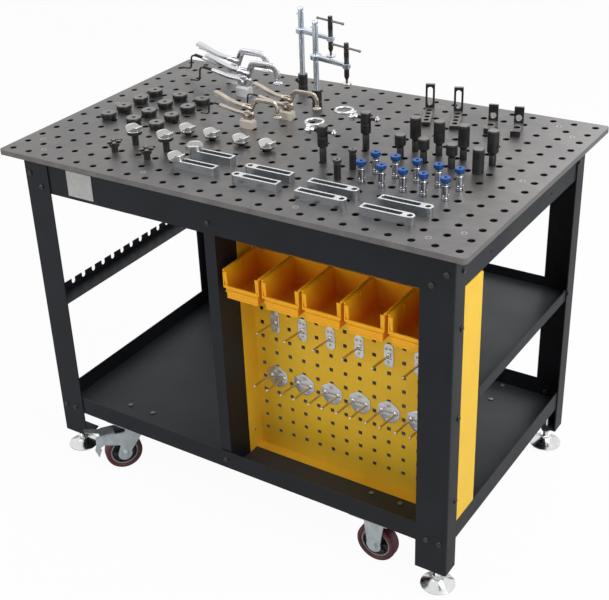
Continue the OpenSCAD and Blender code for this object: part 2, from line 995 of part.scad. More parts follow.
module caster_plates() {
    color(zinc_colour) {
        at_casters()
            difference() {
                translate([0, 0, plate_under + caster_plate_t / 2])
                    cube([caster_plate_w, caster_plate_w, caster_plate_t], center = true);
                at_caster_bolts()
                    translate([0, 0, plate_under - eps])
                        cylinder(d = bolt_d + 2 * bolt_clear, h = caster_plate_t + 2 * eps);
            }
        for (sy = [-1, 1])
            translate([-caster_x, sy * caster_y, 0]) {
                translate([0, 0, swivel_top + gap])
                    cylinder(d = race_d, h = race_h);
                translate([0, 0, swivel_top - fork_t - king_head_h - gap])
                    cylinder(d = king_d, h = fork_t + king_head_h + 3 * gap);
                translate([0, 0, swivel_top - fork_t - king_head_h - gap])
                    cylinder(d = king_head_d, h = king_head_h);
            }
    }
}

module caster_bolts() {
    color(zinc_colour) {
        at_casters()
            at_caster_bolts()
                translate([0, 0, tray_floor])
                    bolt(tray_t + caster_plate_t);
        foot_nuts();
    }
}

// Cheek of a fork, drawn with the top edge level and a round lower end at the axle
module cheek_2d(top_z, axle_x) {
    difference() {
        union() {
            translate([axle_x, wheel_z])
                circle(fork_foot_r);
            polygon([
                [-fork_top_w / 2, top_z],
                [fork_top_w / 2, top_z],
                [fork_top_w / 2 + axle_x / 6, top_z - fork_drop - fork_t],
                [axle_x + fork_foot_r * 0.94, wheel_z + fork_foot_r / 3],
                [axle_x - fork_foot_r * 0.94, wheel_z + fork_foot_r / 3],
                [-fork_top_w / 2 + axle_x / 12, top_z - fork_drop - fork_t]
            ]);
        }
        translate([axle_x, wheel_z])
            circle(d = axle_d + 2 * fit);
    }
}

module cheeks(top_z, axle_x) {
    for (s = [-1, 1])
        translate([0, s * (fork_half + fork_t / 2), 0])
            upright(fork_t)
                cheek_2d(top_z, axle_x);
}

module swivel_fork(sy) {
    color(zinc_colour)
        swivel_frame(sy)
            difference() {
                union() {
                    cheeks(swivel_top - fork_t, trail);
                    translate([0, 0, swivel_top - fork_t])
                        linear_extrude(fork_t)
                            square([fork_top_w, 2 * fork_half + 2 * fork_t], center = true);
                    for (s = [-1, 1])
                        translate([0, s * (fork_half + fork_t / 2), swivel_top])
                            upright(fork_t)
                                difference() {
                                    polygon(arm_size * arm_shares);
                                    translate([pedal_pivot, -pedal_pivot_drop])
                                        circle(d = pedal_pivot_d + 2 * fit);
                                }
                }
                translate([0, 0, swivel_top - fork_t - eps])
                    cylinder(d = king_d + 2 * fit, h = fork_t + 2 * eps);
            }
}

module right_forks() {
    color(zinc_colour)
        for (sy = [-1, 1])
            translate([caster_x, sy * caster_y, 0]) {
                cheeks(plate_under - fork_t, 0);
                translate([0, 0, plate_under - fork_t / 2])
                    cube([fork_top_w, 2 * fork_half + 2 * fork_t, fork_t], center = true);
            }
}

module axle() {
    half = fork_half + fork_t;
    rotate([90, 0, 0]) {
        translate([0, 0, -half - axle_head_h - axle_tail])
            cylinder(d = axle_d, h = 2 * half + axle_head_h + axle_tail + eps);
        translate([0, 0, half])
            cylinder(d = axle_nut_af / cos(30), h = axle_head_h, $fn = 6);
        translate([0, 0, -half - axle_head_h])
            difference() {
                cylinder(d = axle_nut_af / cos(30), h = axle_head_h, $fn = 6);
                translate([0, 0, -eps])
                    cylinder(d = axle_d + 2 * fit, h = axle_head_h + 2 * eps);
            }
    }
}

hub_d = 76;
tyre_step = 4;
hub_bore = axle_d + 3 * fit;
hub_boss_d = 26;
hub_web_t = 12;

// Wheel about the Y axis: a hub with a thin web and a tyre moulded round it
module wheel() {
    half = wheel_w / 2;
    rotate([90, 0, 0]) {
        color(oxide_colour)
            rotate_extrude()
                polygon([
                    [hub_bore / 2, -half],
                    [hub_boss_d / 2, -half],
                    [hub_boss_d / 2, -hub_web_t / 2],
                    [hub_d / 2 - 2 * tyre_step, -hub_web_t / 2],
                    [hub_d / 2 - tyre_step, -half + tyre_step],
                    [hub_d / 2, -half + tyre_step],
                    [hub_d / 2, half - tyre_step],
                    [hub_d / 2 - tyre_step, half - tyre_step],
                    [hub_d / 2 - 2 * tyre_step, hub_web_t / 2],
                    [hub_boss_d / 2, hub_web_t / 2],
                    [hub_boss_d / 2, half],
                    [hub_bore / 2, half]
                ]);
        color(tyre_colour)
            rotate_extrude()
                polygon([
                    [hub_d / 2 + fit, -half + tyre_step],
                    [hub_d / 2 + tyre_step / 2, -half],
                    [wheel_d / 2 - tyre_step, -half],
                    [wheel_d / 2 - tyre_step / 4, -half + tyre_step],
                    [wheel_d / 2, -half + 2 * tyre_step],
                    [wheel_d / 2, half - 2 * tyre_step],
                    [wheel_d / 2 - tyre_step / 4, half - tyre_step],
                    [wheel_d / 2 - tyre_step, half],
                    [hub_d / 2 + tyre_step / 2, half],
                    [hub_d / 2 + fit, half - tyre_step]
                ]);
    }
}

module swivel_wheel(sy) {
    swivel_frame(sy)
        translate([trail, 0, wheel_z])
            wheel();
}

module rigid_wheel(sy) {
    translate([caster_x, sy * caster_y, wheel_z])
        wheel();
}

module swivel_axle(sy) {
    color(zinc_colour)
        swivel_frame(sy)
            translate([trail, 0, wheel_z])
                axle();
}

module right_axles() {
    color(zinc_colour)
        for (sy = [-1, 1])
            translate([caster_x, sy * caster_y, wheel_z])
                axle();
}

// Brake pedal: a cross plate between two ears on a pin, a tab to step on and a leaf to lift

module pedal_ear_2d() {
    difference() {
        union() {
            stroke(
                [pedal_pivot, swivel_top - pedal_pivot_drop],
                [pedal_end - pedal_ear_w / 2, pedal_top - pedal_ear_w / 2],
                pedal_ear_w
            );
            translate([pedal_start, pedal_top - pedal_ear_w / 2])
                square([pedal_l, pedal_ear_w / 2]);
        }
        translate([0, pedal_top])
            square([2 * pedal_end, pedal_ear_w]);
    }
}

module brake(sy) {
    color(zinc_colour)
        swivel_frame(sy) {
            translate([pedal_start, -pedal_w / 2, pedal_top - pedal_t])
                cube([pedal_l, pedal_w, pedal_t]);
            for (s = [-1, 1])
                translate([0, s * (pedal_w - pedal_t) / 2, 0])
                    upright(pedal_t)
                        pedal_ear_2d();
            translate([0, (pedal_w - pedal_t) / 2, 0])
                upright(pedal_t)
                    translate([pedal_end, pedal_top])
                        polygon(leaf_size * leaf_shares);
            translate([0, pedal_tab_w / 2 - pedal_w / 2, 0])
                upright(pedal_tab_w)
                    polygon([
                        [pedal_end - eps, pedal_top - pedal_t],
                        [tab_end, pedal_top + pedal_tab_rise - pedal_t],
                        [tab_end, pedal_top + pedal_tab_rise],
                        [pedal_end - eps, pedal_top]
                    ]);
            translate([pedal_pivot, fork_half + fork_t, swivel_top - pedal_pivot_drop])
                rotate([90, 0, 0])
                    cylinder(d = pedal_pivot_d, h = 2 * fork_half + 2 * fork_t);
        }
}

// Fixturing tools that stand on the plate; their places are in hole pitches

bar_place_shares = [
    [-2.05, -4.0, 1], [-2.05, -5.3, 1], [1.32, -4.43, 1], [1.32, -5.47, 1],
    [4.68, -5.63, -1], [4.65, -4.57, -1], [8.07, -4.7, -1], [7.82, -5.77, -1]
];
bar_hole_d = 12;
bar_slot_w = 14;
bar_slot_share = 0.62;

module on_plate(place) {
    translate([place[0] * hole_pitch, place[1] * hole_pitch, top_h])
        children();
}

module stop_bar() {
    difference() {
        linear_extrude(bar_h)
            difference() {
                union() {
                    translate([-bar_l / 2 + bar_w / 2, -bar_w / 2])
                        square([bar_l - bar_w / 2, bar_w]);
                    translate([-bar_l / 2 + bar_w / 2, 0])
                        circle(d = bar_w);
                }
                translate([-bar_l / 2 + bar_w / 2, 0])
                    circle(d = bar_hole_d);
                stroke(
                    [bar_l / 2 - bar_w / 2 - bar_l * bar_slot_share, 0],
                    [bar_l / 2 - bar_w / 2, 0],
                    bar_slot_w
                );
            }
    }
}

module stop_bars() {
    color(zinc_colour)
        for (p = bar_place_shares)
            on_plate(p)
                rotate([0, 0, p[2] > 0 ? 0 : 180])
                    stop_bar();
}

tall_riser_shares = [[5.5, 1.02], [6.65, 1.02], [7.8, 1.05], [9.17, 1.02]];
short_riser_shares = [[5.28, 0.02], [6.4, 0.04], [7.76, -0.02]];
plain_riser_shares = [8.98, 0];
pin_shares = [[4.05, -1.99], [4.04, -3.27]];
crown_shares = [[-6.75, -5.18], [-4.82, -5.2]];
peg_stem_d = 15.8;
riser_stem_h = 28;
pin_head_d = 19;
pin_head_h = 8;
pin_h = 46;
crown_h = 26;
crown_d = 24;
crown_slot = 5;

// Turned riser: a body on a thinner stem
module riser(h) {
    cylinder(d = peg_stem_d, h = riser_stem_h + eps);
    translate([0, 0, riser_stem_h])
        cylinder(d = riser_d, h = h - riser_stem_h - eps);
    translate([0, 0, h - eps])
        cylinder(d1 = riser_d, d2 = riser_d - 2 * eps, h = eps);
}

module risers() {
    color(oxide_colour) {
        for (p = tall_riser_shares)
            on_plate(p)
                riser(tall_riser_h);
        for (p = short_riser_shares)
            on_plate(p)
                riser(short_riser_h);
        on_plate(plain_riser_shares)
            cylinder(d = riser_d, h = short_riser_h);
        for (p = pin_shares)
            on_plate(p) {
                cylinder(d = peg_stem_d, h = pin_h - pin_head_h + eps);
                translate([0, 0, pin_h - pin_head_h])
                    cylinder(d = pin_head_d, h = pin_head_h);
            }
        for (p = crown_shares)
            on_plate(p)
                difference() {
                    union() {
                        cylinder(d = peg_stem_d, h = crown_h);
                        translate([0, 0, crown_h / 2])
                            cylinder(d = crown_d, h = crown_h / 2);
                    }
                    translate([0, 0, crown_h / 2 + crown_slot / 2])
                        cylinder(d = peg_stem_d / 2, h = crown_h);
                    for (a = [0, 90])
                        rotate([0, 0, a])
                            translate([0, 0, crown_h])
                                cube([2 * crown_d, crown_slot, crown_slot * 2], center = true);
                }
    }
}

disc_col_shares = [-9.88, -8.27, -6.85];
disc_row_shares = [-1.93, -0.75, 0.55, 1.77];
disc_hole_d = 9;

module disc_rests() {
    color(oxide_colour)
        for (x = disc_col_shares, y = disc_row_shares)
            on_plate([x, y])
                difference() {
                    union() {
                        cylinder(d = disc_d - disc_h / 4, h = disc_h);
                        translate([0, 0, disc_h / 4])
                            cylinder(d = disc_d, h = disc_h * 3 / 4);
                    }
                    translate([0, 0, disc_h / 2])
                        cylinder(d = disc_hole_d, h = disc_h);
                }
}

v_pad_d = 40;
v_pad_h = 12;
v_post_h = 11;
v_tall_post_h = 35;
v_flange_h = 4;
v_groove_half = 14;
v_groove_depth = 9;
// Turn of the groove: all pads but the one on the back bar stand alike
v_turn = -12;
v_back_bar_turn = -65;
tall_v_shares = [[-6.42, -4.06], [-4.6, -4.04]];
low_v_shares = [[-4.98, -1.91], [-3.56, -1.91], [-1.9, -1.91], [-0.45, -1.91]];
v_pad_hole_d = 9;

// Round pad with a wide V groove across its top and a hole in the middle
module v_pad(turn = v_turn) {
    difference() {
        cylinder(d = v_pad_d, h = v_pad_h);
        rotate([90, 0, turn])
            translate([0, 0, -v_pad_d])
                linear_extrude(2 * v_pad_d)
                    polygon([
                        [0, v_pad_h - v_groove_depth],
                        [2 * v_groove_half, v_pad_h + v_groove_depth],
                        [-2 * v_groove_half, v_pad_h + v_groove_depth]
                    ]);
        translate([0, 0, v_flange_h / 2])
            cylinder(d = v_pad_hole_d, h = v_pad_h);
    }
}

module v_pads() {
    color(zinc_colour) {
        for (p = tall_v_shares)
            on_plate(p)
                translate([0, 0, v_tall_post_h])
                    v_pad();
        for (p = low_v_shares)
            on_plate(p)
                translate([0, 0, v_post_h])
                    v_pad();
        for (i = [0, 1])
            on_plate(bar_place_shares[i])
                translate([-bar_l / 2 + bar_w / 2, 0, bar_h])
                    v_pad(i == 0 ? v_back_bar_turn : v_turn);
    }
}

module v_pad_posts() {
    color(oxide_colour) {
        for (p = tall_v_shares)
            on_plate(p) {
                cylinder(d = peg_stem_d, h = v_tall_post_h);
                translate([0, 0, v_tall_post_h - 2 * v_flange_h])
                    cylinder(d = v_pad_d * 0.9, h = 2 * v_flange_h);
            }
        for (p = low_v_shares)
            on_plate(p) {
                cylinder(d = peg_stem_d, h = v_post_h);
                translate([0, 0, v_post_h - v_flange_h])
                    cylinder(d = v_pad_d * 0.9, h = v_flange_h);
            }
    }
}

back_lock_shares = [5.2, 6.15, 7.16, 8.15, 9.1];
front_lock_shares = [5.13, 6.09, 7.09, 8.02, 9.0];
back_lock_row_share = -2.03;
front_lock_row_share = -3.15;
lock_head_d = 22;
lock_head_h = 12;
lock_bore_d = 6;
lock_ball_d = 5;
lock_ball_rise = 11;
lock_ball_turn = 25;

module at_lock_bolts() {
    for (x = back_lock_shares)
        on_plate([x, back_lock_row_share])
            children();
    for (x = front_lock_shares)
        on_plate([x, front_lock_row_share])
            children();
}

module lock_bolt_heads() {
    color(blue_colour)
        at_lock_bolts()
            translate([0, 0, lock_h - lock_head_h])
                difference() {
                    union() {
                        cylinder(d1 = peg_stem_d, d2 = lock_head_d, h = lock_head_h / 3);
                        translate([0, 0, lock_head_h / 3])
                            cylinder(d = lock_head_d, h = lock_head_h * 2 / 3);
                    }
                    translate([0, 0, lock_head_h / 2])
                        cylinder(d = lock_bore_d, h = lock_head_h, $fn = 6);
                }
}

module lock_bolt_shafts() {
    color(zinc_colour)
        at_lock_bolts() {
            cylinder(d = peg_stem_d, h = lock_h - lock_head_h);
            for (a = [0, 120, 240])
                rotate([0, 0, a + lock_ball_turn])
                    translate([peg_stem_d / 2 - lock_ball_d / 4, 0, lock_ball_rise])
                        sphere(d = lock_ball_d);
        }
}

slot_bracket_shares = [[3.78, 5.83, 21], [5.2, 5.97, 20]];
hole_bracket_shares = [[7.26, 5.33, 13], [8.43, 5.52, 15]];
bracket_w = 22;
slot_bracket_h = 68;
slot_bracket_foot = 108;
slot_bracket_count = 4;
slot_bracket_t = 9;
hole_bracket_h = 52;
hole_bracket_foot = 60;
hole_bracket_t = 13;
bracket_slot_w = 13;
bracket_hole_d = 15;

module slot_bracket() {
    rotate([90, 0, 0])
        translate([0, 0, -slot_bracket_t / 2])
            linear_extrude(slot_bracket_t)
                difference() {
                    translate([-bracket_w / 2, slot_bracket_t])
                        square([bracket_w, slot_bracket_h - slot_bracket_t]);
                    stroke(
                        [0, slot_bracket_t + bracket_slot_w],
                        [0, slot_bracket_h - bracket_slot_w],
                        bracket_slot_w
                    );
                }
    difference() {
        translate([-bracket_w / 2, -slot_bracket_foot + slot_bracket_t / 2, 0])
            cube([bracket_w, slot_bracket_foot, slot_bracket_t]);
        for (k = [1 : slot_bracket_count])
            translate([0, -k * slot_bracket_foot / (slot_bracket_count + 1), -eps])
                cylinder(d = bracket_slot_w, h = slot_bracket_t + 2 * eps);
    }
}

module hole_bracket() {
    rotate([90, 0, 0])
        translate([0, 0, -hole_bracket_t / 4])
            linear_extrude(hole_bracket_t / 2)
                difference() {
                    translate([-bracket_w / 2, hole_bracket_t])
                        square([bracket_w, hole_bracket_h - hole_bracket_t]);
                    translate([0, hole_bracket_h / 2])
                        circle(d = bracket_hole_d);
                }
    difference() {
        translate([-bracket_w / 2, -hole_bracket_foot + hole_bracket_t / 4, 0])
            cube([bracket_w, hole_bracket_foot, hole_bracket_t]);
        translate([0, -hole_bracket_foot / 2, -eps])
            cylinder(d = bracket_hole_d, h = hole_bracket_t + 2 * eps);
    }
}

module angle_brackets() {
    color(oxide_colour) {
        for (p = slot_bracket_shares)
            on_plate(p)
                rotate([0, 0, p[2]])
                    slot_bracket();
        for (p = hole_bracket_shares)
            on_plate(p)
                rotate([0, 0, p[2]])
                    hole_bracket();
    }
}

// Place of each side clamp and the turn of its ring
side_clamp_shares = [[3.43, 0.25, 172], [2.54, -1.97, 85]];
side_stem_h = 38;
side_body_h = 88;
side_body_d = 24;
side_screw_d = 9;
side_screw_z = 74;
side_screw_out = 36;
side_ring_d = 43;
side_ring_t = 8;
side_ring_w = 7;
side_hub_d = 16;

module side_clamp(ring_turn) {
    color(oxide_colour)
        difference() {
            union() {
                cylinder(d = peg_stem_d, h = side_stem_h + eps);
                translate([0, 0, side_stem_h])
                    cylinder(d = side_body_d, h = side_body_h - side_stem_h);
            }
            translate([0, 0, side_screw_z])
                rotate([0, 90, 0])
                    cylinder(d = side_screw_d + 2 * fit, h = 2 * side_body_d, center = true);
        }
    color(zinc_colour) {
        translate([-side_screw_out, 0, side_screw_z])
            rotate([0, 90, 0])
                cylinder(d = side_screw_d, h = 2 * side_screw_out - side_hub_d / 2);
        translate([side_screw_out - side_hub_d / 2, 0, side_screw_z])
            rotate([0, 90, 0])
                cylinder(d1 = side_hub_d, d2 = side_screw_d / 2, h = side_hub_d / 2);
        translate([-side_screw_out, 0, side_screw_z - side_hub_d / 2])
            cylinder(d = side_hub_d, h = side_hub_d);
        translate([-side_screw_out, 0, side_screw_z])
            rotate([0, 0, ring_turn])
                translate([side_ring_d / 2, 0, -side_ring_t / 2])
                    difference() {
                        cylinder(d = side_ring_d, h = side_ring_t);
                        translate([0, 0, -eps])
                            cylinder(d = side_ring_d - 2 * side_ring_w, h = side_ring_t + 2 * eps);
                    }
    }
}

module side_clamps() {
    for (p = side_clamp_shares)
        on_plate(p)
            side_clamp(p[2]);
}

// Locking pliers, drawn in the upright plane through their length

large_plier_shares = [[-5.71, 3.78], [-7.36, 5.23]];
small_plier_shares = [[-2.93, 0.1], [-1.9, 1.91]];
plier_base_l = 38;
plier_base_w = 20;
plier_base_h = 22;
plier_base_lead = 2;
plier_crown_d = 28;
plier_jaw_t = 14;
plier_frame_w = 12;
plier_frame_t = 9;
plier_lever_w = 9;
plier_lever_t = 16;
plier_handle_w = 10;
plier_handle_t = 12;
plier_ear_t = 4;
plier_pad_d = 20;
plier_pad_h = 4;
plier_stem_d = 10;
plier_stem_l = 8;
plier_rod_d = 5;
plier_clear = 0.4;
plier_size = 100;
jaw_shares = [
    [-0.16, 0.18], [-0.2, 0.36], [-0.1, 0.49], [0.08, 0.56],
    [0.2, 0.53], [0.27, 0.42], [0.29, 0.3], [0.2, 0.18]
];
frame_shares = [
    [0.13, 0.46], [0.19, 0.62], [0.28, 0.79], [0.38, 0.9],
    [0.64, 0.91], [0.9, 0.89], [1.03, 0.8], [1.08, 0.66], [1.08, 0.58]
];
handle_shares = [[-0.08, 0.42], [-0.36, 0.43], [-0.68, 0.49], [-1, 0.55]];
lever_shares = [[-0.08, 0.66], [-0.3, 0.68], [-0.58, 0.75], [-0.88, 0.86], [-1.14, 0.94]];
crank_shares = [[-1.37, 0.57], [-1.41, 0.2], [-1.69, 0.19]];
jaw_points = plier_size * jaw_shares;
frame_points = plier_size * frame_shares;
handle_points = plier_size * handle_shares;
lever_points = plier_size * lever_shares;
frame_end = frame_points[len(frame_points) - 1];
handle_end = handle_points[len(handle_points) - 1];
handle_turn = heading(handle_points, len(handle_points) - 2);
ear_points = [lever_points[0] - [plier_ear_t, 0], frame_points[1] + [0, plier_ear_t / 2]];
crank_lead = plier_rod_d * 3;
crank_points = concat(
    [handle_end, handle_end + crank_lead * handle_turn],
    plier_size * crank_shares
);

module pliers(base_l) {
    // base block with a crowned top
    translate([plier_base_lead - base_l / 2, 0, 0])
        intersection() {
            translate([-eps, 0, plier_base_h - plier_crown_d / 2])
                rotate([0, 90, 0])
                    cylinder(d = plier_crown_d, h = base_l + 2 * eps);
            translate([0, -plier_base_w / 2, 0])
                cube([base_l, plier_base_w, 2 * plier_base_h]);
        }
    // jaw plate and handle
    upright(plier_jaw_t)
        polygon(jaw_points);
    upright(plier_handle_t)
        ribbon(handle_points, plier_handle_w);
    // arched frame
    upright(plier_frame_t)
        ribbon(frame_points, plier_frame_w);
    // swivel pad at the jaw tip
    translate([frame_end[0], 0, frame_end[1] - plier_stem_l]) {
        cylinder(d = plier_stem_d, h = plier_stem_l + plier_frame_w / 2);
        translate([0, 0, -plier_pad_h])
            cylinder(d = plier_pad_d, h = plier_pad_h + eps);
    }
}

module plier_lever() {
    upright(plier_lever_t)
        ribbon(lever_points, plier_lever_w);
    for (s = [-1, 1])
        translate([0, s * (plier_frame_t / 2 + plier_clear + plier_ear_t / 2), 0])
            upright(plier_ear_t)
                ribbon(ear_points, plier_lever_w - 2 * eps);
}

module large_pliers() {
    color(zinc_colour)
        for (p = large_plier_shares)
            on_plate(p) {
                pliers(plier_base_l);
                plier_lever();
            }
}

module small_pliers() {
    color(bronze_colour)
        for (p = small_plier_shares)
            on_plate(p)
                scale(small_pliers_share) {
                    pliers(plier_base_l / small_pliers_share);
                    plier_lever();
                }
}

module crank() {
    upright(plier_rod_d)
        ribbon(crank_points, plier_rod_d);
}

module plier_cranks() {
    color(oxide_colour) {
        for (p = large_plier_shares)
            on_plate(p)
                crank();
        for (p = small_plier_shares)
            on_plate(p)
                scale(small_pliers_share)
                    crank();
    }
}

// Bar clamps: a post in a sleeve, a sliding arm and a screwed spindle

clamp_place_shares = [[-3.39, 5.79], [-1.46, 4.02]];
clamp_turn = -15.5;
sleeve_d = 22;
sleeve_h = 44;
arm_levels = [157, 127];
arm_head_d = 24;
arm_h = 14;
arm_tip_d = 18;
arm_w = 9;
spindle_d = 9;
spindle_up = 56;
spindle_down = 42;
spindle_grip_d = 12;
spindle_pad_d = 26;
spindle_pad_h = 5;
tee_d = 6;
tee_l = 82;
tee_drop = 12;
tee_turn = 1;

module at_clamp(i) {
    on_plate(clamp_place_shares[i])
        rotate([0, 0, clamp_turn])
            children();
}

module clamp_posts() {
    color(zinc_colour)
        for (i = [0, 1])
            at_clamp(i) {
                cylinder(d = clamp_post_d, h = clamp_h);
            }
}

module clamp_sleeves() {
    color(oxide_colour)
        for (i = [0, 1])
            at_clamp(i)
                difference() {
                    cylinder(d = sleeve_d, h = sleeve_h);
                    translate([0, 0, -eps])
                        cylinder(d = clamp_post_d + 2 * fit, h = sleeve_h + 2 * eps);
                }
}

module clamp_arm(i) {
    color(zinc_colour)
        at_clamp(i)
            translate([0, 0, arm_levels[i] - arm_h / 2])
                difference() {
                    union() {
                        cylinder(d = arm_head_d, h = arm_h);
                        translate([arm_l, 0, 0])
                            cylinder(d = arm_tip_d, h = arm_h);
                        translate([0, -arm_w / 2, arm_h / 6])
                            cube([arm_l, arm_w, arm_h * 2 / 3]);
                    }
                    translate([0, 0, -eps])
                        cylinder(d = clamp_post_d + 4 * fit, h = arm_h + 2 * eps);
                    translate([arm_l, 0, -eps])
                        cylinder(d = spindle_d + 4 * fit, h = arm_h + 2 * eps);
                }
}

module clamp_spindle(i) {
    color(oxide_colour)
        at_clamp(i)
            translate([arm_l, 0, arm_levels[i]]) {
                translate([0, 0, -spindle_down])
                    cylinder(d = spindle_d, h = spindle_down + spindle_up);
                translate([0, 0, spindle_up / 3])
                    cylinder(d = spindle_grip_d, h = spindle_up * 2 / 3);
                translate([0, 0, -spindle_down - spindle_pad_h + eps])
                    cylinder(d = spindle_pad_d, h = spindle_pad_h);
                translate([0, 0, spindle_up - tee_drop])
                    rotate([0, 90, tee_turn])
                        cylinder(d = tee_d, h = tee_l, center = true);
            }
}

table_top();
top_screws();
long_apron(-1);  // front_apron
long_apron(1);  // back_apron
side_apron(-1);  // left_apron
side_apron(1);  // right_apron
leg(-1, -1);  // front_left_leg
leg(1, -1);  // front_right_leg
leg(-1, 1);  // back_left_leg
leg(1, 1);  // back_right_leg
frame_bolts();
bottom_tray();
middle_shelf();
divider_posts();
tool_board();
clamp_rack();
name_plate();
bin(0);  // bin_1
bin(1);  // bin_2
bin(2);  // bin_3
bin(3);  // bin_4
bin(4);  // bin_5
single_hooks();
double_hooks();
foot(-1, -1);  // front_left_foot
foot(1, -1);  // front_right_foot
foot(-1, 1);  // back_left_foot
foot(1, 1);  // back_right_foot
caster_plates();
caster_bolts();
swivel_fork(-1);  // front_left_fork
swivel_fork(1);  // back_left_fork
right_forks();
brake(-1);  // front_left_brake
brake(1);  // back_left_brake
swivel_axle(-1);  // front_left_axle
swivel_axle(1);  // back_left_axle
right_axles();
swivel_wheel(-1);  // front_left_wheel
swivel_wheel(1);  // back_left_wheel
rigid_wheel(-1);  // front_right_wheel
rigid_wheel(1);  // back_right_wheel
stop_bars();
risers();
disc_rests();
v_pads();
v_pad_posts();
lock_bolt_heads();
lock_bolt_shafts();
angle_brackets();
side_clamps();
large_pliers();
small_pliers();
plier_cranks();
clamp_posts();
clamp_sleeves();
clamp_arm(0);  // clamp_arm_1
clamp_arm(1);  // clamp_arm_2
clamp_spindle(0);  // clamp_spindle_1
clamp_spindle(1);  // clamp_spindle_2
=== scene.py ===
"""Looks of the assembly table: finishes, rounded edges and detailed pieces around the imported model."""
import json
import math

import bmesh
import bpy
import numpy as np
from mathutils import Matrix, Vector


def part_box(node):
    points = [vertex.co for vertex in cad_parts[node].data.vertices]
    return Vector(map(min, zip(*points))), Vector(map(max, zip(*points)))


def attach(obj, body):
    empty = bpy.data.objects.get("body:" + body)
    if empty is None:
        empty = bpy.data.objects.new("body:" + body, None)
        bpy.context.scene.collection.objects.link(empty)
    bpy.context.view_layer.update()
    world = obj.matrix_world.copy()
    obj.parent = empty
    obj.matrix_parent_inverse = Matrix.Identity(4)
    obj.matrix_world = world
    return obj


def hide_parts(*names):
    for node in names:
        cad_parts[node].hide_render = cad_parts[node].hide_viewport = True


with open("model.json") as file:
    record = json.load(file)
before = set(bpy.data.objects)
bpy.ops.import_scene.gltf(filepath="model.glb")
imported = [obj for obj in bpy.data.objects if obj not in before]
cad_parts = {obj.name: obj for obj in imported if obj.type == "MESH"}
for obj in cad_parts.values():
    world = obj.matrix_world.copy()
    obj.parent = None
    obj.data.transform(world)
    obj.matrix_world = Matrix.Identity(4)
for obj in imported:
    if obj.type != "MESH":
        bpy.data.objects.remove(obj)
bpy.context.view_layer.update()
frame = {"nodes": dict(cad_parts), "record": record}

MM = 0.001
WELD = 2e-6
IMAGE_W, IMAGE_H = 609, 600
SENSOR = 36.0
CUTTER_LAY = (1.0, 9.0, 1.0)
# Parts of the plate's box that its finish reads: a band round its outer edge and the depth at which holes darken
RIM_FROM, RIM_TO = 6 * MM, 4 * MM
# Painted shade in the holes: full from the first depth below the top, fading out by the second
HOLE_SHADE_FULL, HOLE_SHADE_START = 2.4 * MM, 1 * MM
# Painted shade on the bins, darker and redder below the rim: its heights, and how far behind a bin's front it begins
BIN_SHADE_LOW, BIN_SHADE_HIGH = 0.655, 0.707
BIN_SHADE_FRONT, BIN_SHADE_BACK = -0.336, -0.331


# Shader maths

class Value:
    """A socket inside a material. The operators add Math nodes; Finish.node makes any other node."""

    def __init__(self, finish, socket):
        self.finish = finish
        self.socket = socket

    def math(self, operation, first, second):
        return self.finish.node("ShaderNodeMath", {"operation": operation}, {0: first, 1: second})

    def __add__(self, other):
        return self.math("ADD", self, other)

    def __radd__(self, other):
        return self.math("ADD", other, self)

    def __sub__(self, other):
        return self.math("SUBTRACT", self, other)

    def __rsub__(self, other):
        return self.math("SUBTRACT", other, self)

    def __mul__(self, other):
        return self.math("MULTIPLY", self, other)

    def __rmul__(self, other):
        return self.math("MULTIPLY", other, self)

    def size(self):
        return self.math("ABSOLUTE", self, 0.0)


